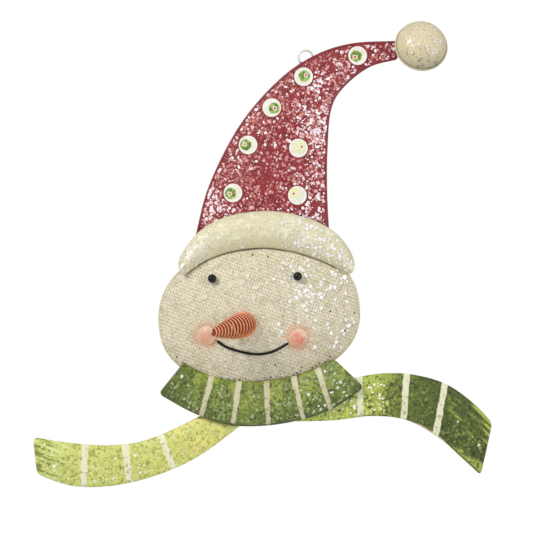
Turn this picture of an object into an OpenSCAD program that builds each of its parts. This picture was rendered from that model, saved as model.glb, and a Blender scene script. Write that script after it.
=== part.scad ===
// Hanging snowman ornament: wire-mesh face and hat, sheet-metal trim, coil-spring nose.
// Millimetres. X to the viewer's right, Z up, front faces -Y.
// Outlines are drawn from a datum near the middle of the face; hung() moves the finished
// drawing so that the centre of the hanging ring is the origin.

/* [Face] */
// Half width of the domed face
face_half_width = 55; // [50:0.5:60]
// Half height of the face above its middle, hidden under the cuff
face_half_top = 39; // [37:0.5:40]
// Half height of the face below its middle
face_half_low = 36.5; // [35:0.5:38]
// How far the dome stands in front of its rim
face_crown = 14; // [8:0.5:16]
// Anticlockwise lean of the oval, in degrees
face_lean = 5; // [0:1:7]
// Power of the rounded oval: 2 is an ellipse
face_power = 2.3; // [2:0.1:2.6]
// How much fuller the oval is at its lower left, as a share of its size
face_jowl = 0.035; // [0:0.005:0.05]

/* [Hat] */
// Slope at which the hat rises from its edge wire
hat_edge_slope = 0.22; // [0.1:0.02:0.26]
// Diameter of the small painted discs on the hat
dot_diameter = 10.4; // [8:0.2:12]

/* [Pompom] */
// Diameter of the backing disc
pompom_diameter = 29.4; // [26:0.2:31]
// Diameter of the dome on the disc
pompom_dome_diameter = 27.6; // [24:0.2:28]
// Height of the dome
pompom_dome_height = 10; // [6:0.5:12]
// How far the top of the pompom leans back, in degrees
pompom_lean = 20; // [0:1:22]

/* [Sheet and wire] */
// Thickness of the painted wire mesh
mesh_thick = 0.6; // [0.4:0.1:0.8]
// Thickness of the sheet metal
sheet_thick = 0.7; // [0.5:0.1:0.9]
// Diameter of the edge wire round face and hat, with its paint
edge_wire = 1.6; // [1.2:0.1:2]
// Diameter of the mouth wire
mouth_wire_d = 1.4; // [1.2:0.1:2]

/* [Nose] */
// Number of turns of the nose coil
nose_turns = 15; // [9:1:17]
// How much closer the turns of the nose lie towards its tip
nose_closing = 0.3; // [0:0.05:0.4]
// Diameter of the nose wire
nose_wire = 1; // [0.8:0.1:1.2]
// Outside diameter of the coil at the face
nose_base_d = 14.4; // [12:0.2:15]
// Outside diameter of the coil at its tip
nose_tip_d = 4.4; // [4:0.2:6]
// How long the coil keeps its width: 1 is a straight cone
nose_fullness = 2.7; // [1:0.1:3.6]

/* [Small parts] */
// Diameter of the bead eyes
eye_diameter = 4.9; // [4:0.1:6]
// Diameter of the cheek discs
cheek_diameter = 10.8; // [9:0.2:12]
// Outside diameter of the hanging ring
ring_diameter = 8.8; // [8:0.2:9.4]
// Wire diameter of the hanging ring
ring_wire = 1; // [0.8:0.1:1.1]

/* [Hidden] */

$fn = 48;
gap = 0.05;             // paint-thin gap between pieces that are glued on
crease = 22.5;          // step of the arc round a strip's corner, degrees

// Where the ring hangs, measured from the face datum
ring_at = [25.1, 1.3, 135.9];
face_middle = [0, -5.5];
jowl_way = 215;         // direction of the fullest part of the oval, degrees

// Hat: left and right edges, from the cuff up to the pompom
hat_left = [[-36, 36], [-28.3, 65], [-12, 97.5], [8, 121.5], [28, 136.2], [50, 143.6], [79, 145.3]];
hat_right = [[38.2, 36], [36.9, 62], [37.1, 86], [39, 107], [45.5, 119], [59.5, 130.3], [74.6, 134.8]];
// Places on the hat, as shares of the way up and across
hat_dots = [[0.825, 0.48], [0.58, 0.27], [0.42, 0.21], [0.29, 0.19], [0.31, 0.69],
            [0.15, 0.22], [0.15, 0.75]];

// Cuff: upper and lower edges, left to right, with how far each stands forward
cuff_top = [[-45.6, 21.5], [-42, 30], [-32, 41.5], [-16.5, 49], [5, 51.6], [25, 48],
            [40, 40.8], [49, 30.5], [52.4, 21.5]];
cuff_low = [[-42.6, 15.4], [-36, 20.5], [-27, 25.7], [-14, 29.8], [2, 31.4], [18, 29.3],
            [32, 24.9], [42.5, 20.2], [50, 16.3]];
cuff_top_depth = [-3.6, -4.4, -5.6, -4.6, -3.8];
cuff_low_depth = [-3.6, -3.1, -3.6, -4.1, -3.8];
cuff_crown = 5;

// Collar
collar_top = [[-42.3, -31.7], [-29, -38.1], [-15, -41.4], [0, -41.9], [14, -40.0],
              [28, -36.1], [40.6, -29.4]];
collar_low = [[-56, -48.8], [-37, -59.2], [-18, -65.8], [2, -66.4], [22, -63.2],
              [40, -56.8], [57.3, -45.2]];
collar_top_depth = [-3.4, -3.2, -2.6, -2.8, -3.2];
collar_low_depth = [-2.6, -2.4, -2.2, -2.4, -2.6];
collar_crown = 3.6;

// Left tail, from its free end to its end behind the collar
left_tail_top = [[-124.8, -72.6], [-104, -75.9], [-84.5, -77.2], [-65, -75], [-44, -66.6], [-22, -55]];
left_tail_low = [[-122.6, -93], [-104.5, -99.3], [-84, -99.8], [-60, -94.8], [-34, -83.4], [-5, -62]];
left_tail_depth = [-1.5, 1, 2.4, 2.8, 2.4, 1.6];

// Right tail, from its end behind the collar to its free end
right_tail_top = [[30, -47], [48, -41.2], [66, -37.8], [84, -38.3], [102, -43.4],
                  [117, -53.8], [127.6, -64.8]];
right_tail_low = [[20, -64.2], [41, -63.5], [62, -61.2], [81, -63.6], [98, -72.9],
                  [109.6, -83.0], [121.2, -93.7]];
right_tail_depth = [1.6, 2.4, 3, 2.6, 1.4, 0.2, -1.5];
tail_crown = 1.8;

// Face features, measured from the face datum
eye_places = [[-25.6, 13.5], [20.1, 14.8]];
cheek_places = [[-29.1, -16.5], [20.8, -17.9]];
mouth_line = [[-23.6, -19.4], [-16.5, -23.4], [-3.3, -26.5], [6.6, -25.2], [15.4, -20.5]];
nose_at = [-8.8, -10.4];
nose_bulge = [-2, -12, -1.2];       // first pull of the coil, straight out of the face
nose_reach = [-16.5, -22.5, -4.4];  // from the base of the coil to its tip
nose_lift = 0.4;                    // room between the first turn and the mesh
nose_split = 0.45;                  // share of the coil that is in the lower half
pompom_at = [88.4, -3.4, 142.0];
pompom_dome_rise = 0.4;             // the dome sits a little high on its disc

//------------------------------------------------------------------ curves and surfaces

function lerp(a, b, t) = a + (b - a) * t;

// Smooth curve through the points p, for t from 0 to 1; works on numbers and on points
function curve(p, t) =
    let (n = len(p) - 1, k = min(floor(t * n), n - 1), f = t * n - k,
         b = p[k], c = p[k + 1],
         a = k == 0 ? 2 * b - c : p[k - 1],
         d = k == n - 1 ? 2 * c - b : p[k + 2])
    0.5 * (2 * b + (c - a) * f + (2 * a - 5 * b + 4 * c - d) * f * f
           + (3 * b - a - 3 * c + d) * f * f * f);

function unit(v) = v / norm(v);

// Position on a strip of metal, v along it and u across it, both from 0 to 1
function on_strip(top, low, depth, crown, v, u) =
    let (p = lerp(curve(top, v), curve(low, v), u))
    [p[0], lerp(curve(depth[0], v), curve(depth[1], v), u) - crown * 4 * u * (1 - u), p[1]];

// How much a corner of radius r narrows the strip at distance d from its end
function inset(d, r) = d >= r ? 0 : r - sqrt(r * r - (r - d) * (r - d));

// Stations along a strip, close together round its end corners
function stations(length, r0, r1, n) = concat(
    [for (a = [0:crease:67.5]) if (r0 > 0) r0 * (1 - cos(a)) / length],
    [for (k = [0:n]) lerp(r0, length - r1, k / n) / length],
    [for (a = [67.5:-crease:0]) if (r1 > 0) 1 - r1 * (1 - cos(a)) / length]);

function strip_grid(top, low, depth, crown, length, r0, r1, n, m) =
    [for (v = stations(length, r0, r1, n))
        let (width = norm(curve(top, v) - curve(low, v)),
             e = max(inset(v * length, r0), inset((1 - v) * length, r1)) / width)
        [for (j = [0:m]) on_strip(top, low, depth, crown, v, lerp(e, 1 - e, j / m))]];

// Position on the front of the hat, v up it and u across it
function on_hat(v, u) =
    let (a = curve(hat_left, v), b = curve(hat_right, v), p = lerp(a, b, u), w = norm(b - a))
    [p[0], -hat_edge_slope * w * u * (1 - u), p[1]];

function hat_normal(v, u) =
    unit(cross(on_hat(v, u + 0.02) - on_hat(v, u - 0.02), on_hat(v + 0.02, u) - on_hat(v - 0.02, u)));

// The face's outline: a rounded oval, fuller than an ellipse
function face_half(s) = s >= 0 ? face_half_top : face_half_low;
function power(c) = sign(c) * pow(abs(c), 2 / face_power);
function lean(x, z, a) = [x * cos(a) - z * sin(a), x * sin(a) + z * cos(a)];
function jowl(p) = 1 + face_jowl * pow(max(0, cos(atan2(p[1], p[0]) - jowl_way)), 3);

function on_face(share, angle) =
    let (e = [face_half_width * power(cos(angle)), face_half(sin(angle)) * power(sin(angle))],
         p = lean(e[0], e[1], face_lean) * share * jowl(e) + face_middle)
    [p[0], -face_crown * (1 - share * share), p[1]];

// How far forward the face stands at x, z
function face_depth(x, z) =
    let (r = lean(x - face_middle[0], z - face_middle[1], -face_lean), p = r / jowl(r),
         q = pow(abs(p[0] / face_half_width), face_power) + pow(abs(p[1] / face_half(p[1])), face_power))
    -face_crown * (1 - pow(q, 2 / face_power));

function face_point(x, z) = [x, face_depth(x, z), z];
function face_normal(x, z) =
    unit(cross(face_point(x + 0.5, z) - face_point(x - 0.5, z),
               face_point(x, z + 0.5) - face_point(x, z - 0.5)));

// Axis of the nose coil, s from 0 at the face to 1 at the tip
function nose_base() =
    face_point(nose_at[0], nose_at[1]) - [0, mesh_thick + nose_wire / 2 + nose_lift, 0];
function nose_axis(s) = nose_base() + 2 * s * (1 - s) * nose_bulge + s * s * nose_reach;
function nose_way(s) = unit((1 - 2 * s) * nose_bulge + s * nose_reach);
function nose_radius(s) = lerp(nose_base_d, nose_tip_d, pow(s, nose_fullness)) / 2 - nose_wire / 2;
function nose_side(s) = unit(cross(nose_way(s), [0, 0, 1]));
function nose_turn(s) = nose_turns * ((1 - nose_closing) * s + nose_closing * pow(s, 3));
function nose_spoke(s) =
    let (a = 360 * nose_turn(s), x = nose_side(s), z = cross(x, nose_way(s)))
    cos(a) * x + sin(a) * z;
function nose_wire_at(s) = nose_axis(s) + nose_radius(s) * nose_spoke(s);

//------------------------------------------------------------------ building blocks

module hung() translate(-ring_at) children();

// A thin plate: its front is the grid of points, its back lies t further back
module plate(grid, t) {
    cols = len(grid[0]);
    rows = len(grid);
    n = rows * cols;
    edge = concat([for (j = [0:cols - 1]) j],
                  [for (i = [1:rows - 1]) i * cols + cols - 1],
                  [for (j = [cols - 2:-1:0]) (rows - 1) * cols + j],
                  [for (i = [rows - 2:-1:1]) i * cols]);
    front = [for (i = [0:rows - 2], j = [0:cols - 2])
        let (a = i * cols + j, b = a + cols) each [[a, b, b + 1], [a, b + 1, a + 1]]];
    points = [for (row = grid, p = row) p];
    polyhedron(
        concat(points, [for (p = points) p + [0, t, 0]]),
        concat(front, [for (f = front) [f[0] + n, f[2] + n, f[1] + n]],
               [for (k = [0:len(edge) - 1])
                   let (a = edge[k], b = edge[(k + 1) % len(edge)])
                   each [[a, b, b + n], [a, b + n, a + n]]]));
}

// A round plate: a middle point and rings of points about it
module dish(middle, rings, t) {
    m = len(rings[0]);
    n = 1 + len(rings) * m;
    points = concat([middle], [for (ring = rings, p = ring) p]);
    front = concat(
        [for (k = [0:m - 1]) [0, 1 + (k + 1) % m, 1 + k]],
        [for (i = [0:len(rings) - 2], k = [0:m - 1])
            let (a = 1 + i * m + k, b = 1 + i * m + (k + 1) % m)
            each [[a, b, b + m], [a, b + m, a + m]]]);
    last = n - m;
    polyhedron(
        concat(points, [for (p = points) p + [0, t, 0]]),
        concat(front, [for (f = front) [f[0] + n, f[2] + n, f[1] + n]],
               [for (k = [0:m - 1])
                   let (a = last + k, b = last + (k + 1) % m)
                   each [[a, b, b + n], [a, b + n, a + n]]]));
}

// A round wire along a path; side[i] points across the wire at path[i]
module wire(path, side, d, closed = false, sides = 8) {
    n = len(path);
    way = [for (i = [0:n - 1])
        unit(closed ? path[(i + 1) % n] - path[(i + n - 1) % n]
             : i == 0 ? 4 * path[1] - 3 * path[0] - path[2]
             : i == n - 1 ? 3 * path[n - 1] - 4 * path[n - 2] + path[n - 3]
             : path[i + 1] - path[i - 1])];
    rings = [for (i = [0:n - 1])
        let (x = unit(side[i] - (side[i] * way[i]) * way[i]), y = cross(way[i], x))
        [for (k = [0:sides - 1])
            let (a = 360 * k / sides) path[i] + d / 2 * (cos(a) * x + sin(a) * y)]];
    walls = [for (i = [0:n - (closed ? 1 : 2)], k = [0:sides - 1])
        let (a = i * sides + k, b = i * sides + (k + 1) % sides,
             c = ((i + 1) % n) * sides + k, e = ((i + 1) % n) * sides + (k + 1) % sides)
        each [[a, c, e], [a, e, b]]];
    caps = closed ? [] : [[for (k = [0:sides - 1]) k],
                          [for (k = [sides - 1:-1:0]) (n - 1) * sides + k]];
    polyhedron([for (ring = rings, p = ring) p], concat(walls, caps));
}

// A shallow pressed cap, opening towards -Z, its rim's foot at z = 0
module cap(d, height, t, steps = 10) {
    function rise(q) = height * (1 - q * q);
    outer = [for (k = [0:steps]) let (q = k / steps) [q * d / 2, t + rise(q)]];
    inner = [for (k = [steps:-1:0]) let (q = k / steps) [q * d / 2, rise(q)]];
    rotate_extrude() polygon(concat(outer, inner));
}

// A deep pressed dome, half an ellipsoid, its foot at z = 0
module bell(d, height, t, steps = 12) {
    function arc(r, h) = [for (k = [0:steps]) [r * cos(90 * k / steps), h * sin(90 * k / steps)]];
    inner = arc(d / 2 - t, height - t);
    rotate_extrude() polygon(concat(arc(d / 2, height), [for (k = [steps:-1:0]) inner[k]]));
}

// Stands the children on point p with their +Z along the direction n
module stand(p, n) translate(p) rotate([0, acos(n[2]), atan2(n[1], n[0])]) children();

//------------------------------------------------------------------ face

face_rays = 48;
face_rings = 10;

module face_panel() color([0.84, 0.80, 0.70]) hung()
    dish(on_face(0, 0) - [0, mesh_thick / 2, 0],
         [for (i = [1:face_rings])
             [for (k = [0:face_rays - 1])
                 on_face(i / face_rings, 360 * k / face_rays) - [0, mesh_thick / 2, 0]]],
         mesh_thick);

module face_rim() color([0.82, 0.78, 0.66]) hung() {
    path = [for (k = [0:face_rays - 1]) on_face(1 - edge_wire / 2 / face_half_width, 360 * k / face_rays)];
    wire([for (p = path) [p[0], 0, p[2]]], [for (p = path) [0, 1, 0]], edge_wire, closed = true);
}

module eye(place) color([0.05, 0.05, 0.05]) hung()
    stand(face_point(place[0], place[1]), face_normal(place[0], place[1])) {
        translate([0, 0, eye_diameter / 2 + mesh_thick]) sphere(d = eye_diameter);
        translate([0, 0, -2.5]) cylinder(d = 0.8, h = 4);
    }

module cheek(place) color([0.88, 0.62, 0.55]) hung()
    stand(face_point(place[0], place[1]), face_normal(place[0], place[1]))
        translate([0, 0, mesh_thick / 2 + gap]) cap(cheek_diameter, 1.9, 0.5);

module mouth_wire() color([0.07, 0.06, 0.06]) hung() {
    lift = (mesh_thick + mouth_wire_d) / 2 + gap;
    line = [for (k = [0:20]) curve(mouth_line, k / 20)];
    path = [for (p = line) face_point(p[0], p[1]) + lift * face_normal(p[0], p[1])];
    wire(path, [for (p = line) face_normal(p[0], p[1])], mouth_wire_d);
}

// The nose is one wire; it is drawn as two lengths that meet end to end, so it can bend
parting = gap / (2 * PI * nose_radius(nose_split) * nose_turns
                 * (1 - nose_closing + 3 * nose_closing * pow(nose_split, 2)));

module nose_length(from, to) color([0.85, 0.50, 0.32]) hung() {
    n = ceil((to - from) * nose_turns * 20);
    shares = [for (k = [0:n]) lerp(from, to, k / n)];
    wire([for (s = shares) nose_wire_at(s)], [for (s = shares) nose_spoke(s)], nose_wire);
}

//------------------------------------------------------------------ hat

hat_rows = 26;
hat_cols = 8;

// Half the edge wire, as a share of the hat's width at v
function wire_share(v) = edge_wire / 2 / norm(curve(hat_left, v) - curve(hat_right, v));

module hat_panel() color([0.62, 0.22, 0.26]) hung()
    plate([for (i = [0:hat_rows]) [for (j = [0:hat_cols])
              on_hat(i / hat_rows, j / hat_cols) - [0, mesh_thick / 2, 0]]],
          mesh_thick);

module hat_rim() color([0.55, 0.16, 0.20]) hung() {
    ups = [for (i = [0:hat_rows]) lerp(0.004, 0.995, i / hat_rows)];
    shares = concat([for (v = ups) [v, wire_share(v)]],
                    [[0.995, 0.5]],
                    [for (i = [hat_rows:-1:0]) [ups[i], 1 - wire_share(ups[i])]],
                    [for (j = [hat_cols - 1:-1:1]) [0.004, j / hat_cols]]);
    path = [for (s = shares) on_hat(s[0], s[1])];
    wire(path, [for (p = path) [0, 1, 0]], edge_wire, closed = true);
}

module hat_dot(i) color([0.93, 0.91, 0.85]) hung()
    stand(on_hat(hat_dots[i][0], hat_dots[i][1]), hat_normal(hat_dots[i][0], hat_dots[i][1]))
        translate([0, 0, mesh_thick / 2 + gap]) cap(dot_diameter, 0.5, 0.5);

module hat_cuff() color([0.89, 0.85, 0.73]) hung()
    plate(strip_grid(cuff_top, cuff_low, [cuff_top_depth, cuff_low_depth], cuff_crown,
                     115, 3.2, 3.2, 28, 8), sheet_thick);

module leaning_pompom() hung() translate(pompom_at) rotate([90 - pompom_lean, 0, 6]) children();

module pompom_disc() color([0.84, 0.80, 0.68]) leaning_pompom()
    cylinder(d = pompom_diameter, h = sheet_thick, center = true);

module pompom_dome() color([0.86, 0.82, 0.70]) leaning_pompom()
    translate([0, pompom_dome_rise, sheet_thick / 2 + gap])
        bell(pompom_dome_diameter, pompom_dome_height, sheet_thick);

module hanging_ring() color([0.75, 0.76, 0.75]) rotate([90, 0, 0])
    rotate_extrude() translate([(ring_diameter - ring_wire) / 2, 0]) circle(d = ring_wire, $fn = 24);

//------------------------------------------------------------------ scarf

module scarf_collar() color([0.52, 0.60, 0.25]) hung()
    plate(strip_grid(collar_top, collar_low, [collar_top_depth, collar_low_depth], collar_crown,
                     100, 2.6, 2.6, 22, 8), sheet_thick);

module scarf_tail_left() color([0.77, 0.80, 0.38]) hung()
    plate(strip_grid(left_tail_top, left_tail_low, [left_tail_depth, left_tail_depth], tail_crown,
                     122, 3, 0, 22, 6), sheet_thick);

module scarf_tail_right() color([0.45, 0.55, 0.20]) hung()
    plate(strip_grid(right_tail_top, right_tail_low, [right_tail_depth, right_tail_depth], tail_crown,
                     112, 0, 2.8, 22, 6), sheet_thick);

//------------------------------------------------------------------ solder

// A drop of solder from y0 to y1
module drop(x, z, y0, y1, d = 2.4) translate([x, y0, z]) rotate([-90, 0, 0]) cylinder(d = d, h = y1 - y0);

module solder_joints() color([0.55, 0.55, 0.54]) hung() {
    drop(22.4, 132.9, 0.2, 1.6, d = 1.6);      // ring to hat
    drop(29.1, 136.1, 0.2, 1.6, d = 1.6);
    drop(76, 141, -2.6, -0.4);                 // pompom to hat
    drop(-19, 44, -7, -2.7);                   // cuff to hat
    drop(22, 44, -7.4, -2.8);
    drop(-40, 20.6, -5.7, -0.9);               // cuff to face
    drop(42.5, 22.2, -5.2, -0.5);
    drop(-36, -37.2, -3.7, -0.9);              // collar to face
    drop(36.5, -32.6, -3.2, -0.5, d = 1.6);
    drop(-20, -61, -4, 0.3);                   // collar to tails
    drop(-12, -62, -4, 0.6);
    drop(29, -56, -4.3, 0.3);
    drop(37, -55, -3.45, 0.7);
}

//------------------------------------------------------------------ assembly

face_panel();
face_rim();
hat_panel();
hat_rim();
hat_cuff();
pompom_disc();
pompom_dome();
hanging_ring();
for (i = [0:6])
    hat_dot(i);
eye(eye_places[0]);  // left_eye
eye(eye_places[1]);  // right_eye
cheek(cheek_places[0]);  // left_cheek
cheek(cheek_places[1]);  // right_cheek
mouth_wire();
scarf_collar();
scarf_tail_left();
scarf_tail_right();
nose_length(0, nose_split);  // nose_coil_lower
nose_length(nose_split + parting, 1);  // nose_coil_upper
solder_joints();
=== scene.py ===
"""Looks of a hanging snowman ornament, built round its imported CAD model.

The real thing is painted metal: face and hat are cut from insect screen and edged with wire,
the cuff, pompom and scarf are thin sheet, the nose is a spring, and glitter is sprinkled on wet varnish.
Everything is in metres, in the CAD's frame: x to the right, z up, the painted front faces -y.
"""

import math
from functools import partial
from types import SimpleNamespace

import bpy
import numpy as np
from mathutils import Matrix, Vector


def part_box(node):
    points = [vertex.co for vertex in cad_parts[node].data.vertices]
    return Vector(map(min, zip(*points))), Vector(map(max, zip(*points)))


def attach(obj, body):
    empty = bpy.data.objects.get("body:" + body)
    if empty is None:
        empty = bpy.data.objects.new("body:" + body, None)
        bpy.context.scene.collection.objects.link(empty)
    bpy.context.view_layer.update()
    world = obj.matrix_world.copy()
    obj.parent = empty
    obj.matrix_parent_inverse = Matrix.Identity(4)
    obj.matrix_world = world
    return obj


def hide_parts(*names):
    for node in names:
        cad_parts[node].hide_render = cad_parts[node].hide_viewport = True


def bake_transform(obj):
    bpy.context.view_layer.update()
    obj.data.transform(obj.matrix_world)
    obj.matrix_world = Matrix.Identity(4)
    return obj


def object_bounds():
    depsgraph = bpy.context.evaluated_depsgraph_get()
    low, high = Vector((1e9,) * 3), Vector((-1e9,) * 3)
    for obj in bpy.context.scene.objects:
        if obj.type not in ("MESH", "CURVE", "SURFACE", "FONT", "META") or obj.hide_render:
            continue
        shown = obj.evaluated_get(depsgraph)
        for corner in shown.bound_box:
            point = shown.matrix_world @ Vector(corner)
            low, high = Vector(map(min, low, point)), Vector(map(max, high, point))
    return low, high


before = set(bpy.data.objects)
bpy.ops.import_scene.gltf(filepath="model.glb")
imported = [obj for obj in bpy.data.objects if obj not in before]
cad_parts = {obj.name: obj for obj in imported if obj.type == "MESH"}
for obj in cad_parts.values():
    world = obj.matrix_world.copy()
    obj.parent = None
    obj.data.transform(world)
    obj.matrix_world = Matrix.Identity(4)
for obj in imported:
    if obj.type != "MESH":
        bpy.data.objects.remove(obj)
cad_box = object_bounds()
MM = 0.001

# ---------------------------------------------------------------- camera, floor and light
# A camera level with the ornament, far enough off for an almost flat view of it, aimed a little low.
# A soft key light stands at its upper left, a weaker one at its right, and pale paper lies below it.

cad_low, cad_high = (np.array(corner) for corner in cad_box)
cad_middle = (cad_low + cad_high) / 2

CAMERA_DISTANCE = 2.5
PICTURE_HEIGHT = 1.1535 * (cad_high[2] - cad_low[2])     # what the picture takes in, top to bottom
AIM = np.array([cad_middle[0], cad_high[1], cad_middle[2]]) + np.array([2.2, -5.0, -8.1]) * MM
SENSOR = 36.0

camera_data = bpy.data.cameras.new("camera")
camera_data.sensor_width = SENSOR
camera_data.lens = SENSOR * CAMERA_DISTANCE / PICTURE_HEIGHT
camera = bpy.data.objects.new("camera", camera_data)
camera.location = (AIM[0], AIM[1] - CAMERA_DISTANCE, AIM[2])
camera.rotation_euler = (math.pi / 2, 0, 0)
bpy.context.scene.collection.objects.link(camera)
bpy.context.scene.camera = camera
bpy.context.scene.view_settings.view_transform = "Standard"


def soft_light(name, place, size, watts, colour):
    """A square area light at `place`, turned to face the middle of the ornament."""
    data = bpy.data.lights.new(name, "AREA")
    data.size = size
    data.energy = watts
    data.color = colour
    light = bpy.data.objects.new(name, data)
    light.location = cad_middle + np.array(place)
    light.rotation_euler = (-Vector(place)).to_track_quat("-Z", "Y").to_euler()
    bpy.context.scene.collection.objects.link(light)


soft_light("key_light", (-0.75, -0.95, 0.75), 0.35, 10.0, (1.0, 0.97, 0.93))
soft_light("side_light", (1.0, -0.8, 0.1), 0.5, 4.5, (0.95, 0.97, 1.0))

# The studio's walls are white to look at, and light the ornament less than they show.
WALL_SHOWN = 1.0
WALL_LIGHT = 0.55
world = bpy.data.worlds.new("studio")
bpy.context.scene.world = world
world.use_nodes = True
tree = world.node_tree
tree.nodes.clear()
world_out = tree.nodes.new("ShaderNodeOutputWorld")
either = tree.nodes.new("ShaderNodeMixShader")
seen = tree.nodes.new("ShaderNodeLightPath")
for strength, slot_number in ((WALL_LIGHT, 1), (WALL_SHOWN, 2)):
    wall = tree.nodes.new("ShaderNodeBackground")
    wall.inputs["Color"].default_value = (1, 1, 1, 1)
    wall.inputs["Strength"].default_value = strength
    tree.links.new(wall.outputs[0], either.inputs[slot_number])
tree.links.new(seen.outputs["Is Camera Ray"], either.inputs[0])
tree.links.new(either.outputs[0], world_out.inputs[0])



def finish(name, values):
    """New material with `values` on its shader's sockets: it, its nodes, its links and its shader."""
    material = bpy.data.materials.new(name)
    material.use_nodes = True
    shader = material.node_tree.nodes["Principled BSDF"]
    for socket, value in values.items():
        shader.inputs[socket].default_value = value
    return material, material.node_tree.nodes, material.node_tree.links, shader


FLOOR_DROP = 0.085
FLOOR_HALF = 0.34
floor_mesh = bpy.data.meshes.new("floor")
floor_mesh.from_pydata(
    [(cad_middle[0] + FLOOR_HALF * x, cad_middle[1] + FLOOR_HALF * y, cad_low[2] - FLOOR_DROP)
     for x, y in ((-1, -1), (1, -1), (1, 1), (-1, 1))], [], [(0, 1, 2, 3)])
floor = bpy.data.objects.new("floor", floor_mesh)
bpy.context.scene.collection.objects.link(floor)
floor_mesh.materials.append(finish("pale_paper", {"Base Color": (0.85, 0.85, 0.84, 1), "Roughness": 0.9})[0])

# ---------------------------------------------------------------- face
# The face is a domed oval of insect screen, sealed with thick cream paint that leaves a few holes
# open near its edge. Pink is sprayed round the cheeks and orange round the nose.
# Outlines are in millimetres from the drawing's datum; hung() moves them to where the CAD is.

FACE_HALF_WIDTH = 55.0
FACE_HALF_TOP = 39.0
FACE_HALF_LOW = 36.5
FACE_CROWN = 14.0
FACE_LEAN = math.radians(5)
FACE_POWER = 2.3
FACE_JOWL = 0.035
JOWL_WAY = math.radians(215)
FACE_MIDDLE = np.array([0.0, -5.5])
MESH_THICK = 0.6
EDGE_WIRE = 1.6


def power(c):
    """A cosine or sine raised so that the oval is fuller than an ellipse, its sign kept."""
    return np.sign(c) * np.abs(c) ** (2 / FACE_POWER)


def lean(x, z, angle):
    """x and z turned anticlockwise by angle."""
    return x * np.cos(angle) - z * np.sin(angle), x * np.sin(angle) + z * np.cos(angle)


def jowl(x, z):
    """How much fuller the oval is in the direction of x, z: most at the lower left."""
    return 1 + FACE_JOWL * np.maximum(0, np.cos(np.arctan2(z, x) - JOWL_WAY)) ** 3


def face_outline(share, angle):
    """Point of the oval at `share` of its size: rounded oval times its jowl, leaned, about its middle."""
    x = FACE_HALF_WIDTH * power(np.cos(angle))
    z = np.where(np.sin(angle) >= 0, FACE_HALF_TOP, FACE_HALF_LOW) * power(np.sin(angle))
    fuller = share * jowl(x, z)
    x, z = lean(x, z, FACE_LEAN)
    return x * fuller + FACE_MIDDLE[0], z * fuller + FACE_MIDDLE[1]


def face_share(x, z):
    """0 at the middle of the oval and 1 on its outline: the root of the sum of the powers of the two
    distances from the middle, each as a share of its half-axis."""
    x, z = lean(x - FACE_MIDDLE[0], z - FACE_MIDDLE[1], -FACE_LEAN)
    fuller = jowl(x, z)
    high = np.where(z >= 0, FACE_HALF_TOP, FACE_HALF_LOW) * fuller
    across, upright = np.abs(x / FACE_HALF_WIDTH / fuller), np.abs(z / high)
    return (across ** FACE_POWER + upright ** FACE_POWER) ** (1 / FACE_POWER)


def face_depth(x, z):
    """The dome: crown times one minus the square of the share, towards -y."""
    return -FACE_CROWN * (1 - face_share(x, z) ** 2)


# The datum is found from the CAD's own face panel, whose outline is the oval above.
oval_x, oval_z = face_outline(1.0, np.linspace(0, 2 * np.pi, 721))
panel_low, panel_high = (np.array(corner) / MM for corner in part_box("face_panel"))
DATUM = np.array([
    (panel_low[0] + panel_high[0] - oval_x.min() - oval_x.max()) / 2,
    panel_high[1] - MESH_THICK / 2,
    (panel_low[2] + panel_high[2] - oval_z.min() - oval_z.max()) / 2])


def hung(points):
    """Points in millimetres from the datum, moved to the CAD's frame in metres."""
    return (np.asarray(points, float) + DATUM) * MM


def rgb(red, green, blue):
    """A paint chip's colour, 0 to 255 as a screen shows it, as the linear colour that shaders take."""
    chip = np.array([red, green, blue]) / 255
    return tuple(np.where(chip <= 0.04045, chip / 12.92, ((chip + 0.055) / 1.055) ** 2.4))


def mottle(x, z, grain, seed):
    """Smooth random field from 0 to 1: values on a square lattice of `grain`, eased between corners."""
    lattice = np.random.default_rng(seed).random((256, 256))
    i, j = np.floor(x / grain).astype(int), np.floor(z / grain).astype(int)
    fx, fz = x / grain - i, z / grain - j
    fx, fz = fx * fx * (3 - 2 * fx), fz * fz * (3 - 2 * fz)
    low = lattice[i % 256, j % 256] * (1 - fx) + lattice[(i + 1) % 256, j % 256] * fx
    high = lattice[i % 256, (j + 1) % 256] * (1 - fx) + lattice[(i + 1) % 256, (j + 1) % 256] * fx
    return low * (1 - fz) + high * fz


def ease(value, start, end):
    """0 below start, 1 above end, and smooth between them."""
    t = np.clip((value - start) / (end - start), 0, 1)
    return t * t * (3 - 2 * t)


# Eighteen by fourteen wires to the inch, laid at a slant
WARP_PITCH = 25.4 / 18
WEFT_PITCH = 25.4 / 14
WEAVE_TURN = math.radians(-20)
SAMPLES_PER_WIRE = 4


def wire_count(x, z):
    """Position counted in warp wires and in weft wires."""
    p, q = lean(x, z, -WEAVE_TURN)
    return p / WARP_PITCH, q / WEFT_PITCH


def weave_height(x, z, seed):
    """Height of painted plain weave: rounded ridges over both sets of wires, each rising and falling
    by half a turn from one crossing to the next, the higher of the two showing, under uneven paint."""
    p, q = wire_count(x, z)
    warp = np.cos(np.pi * p) ** 2 * (0.62 + 0.38 * np.cos(np.pi * (np.round(p) + q)))
    weft = np.cos(np.pi * q) ** 2 * (0.50 - 0.32 * np.cos(np.pi * (np.round(q) + p)))
    uneven = 0.55 + 0.9 * mottle(x, z, 2.1, seed)
    return np.maximum(warp, weft) * uneven


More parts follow.
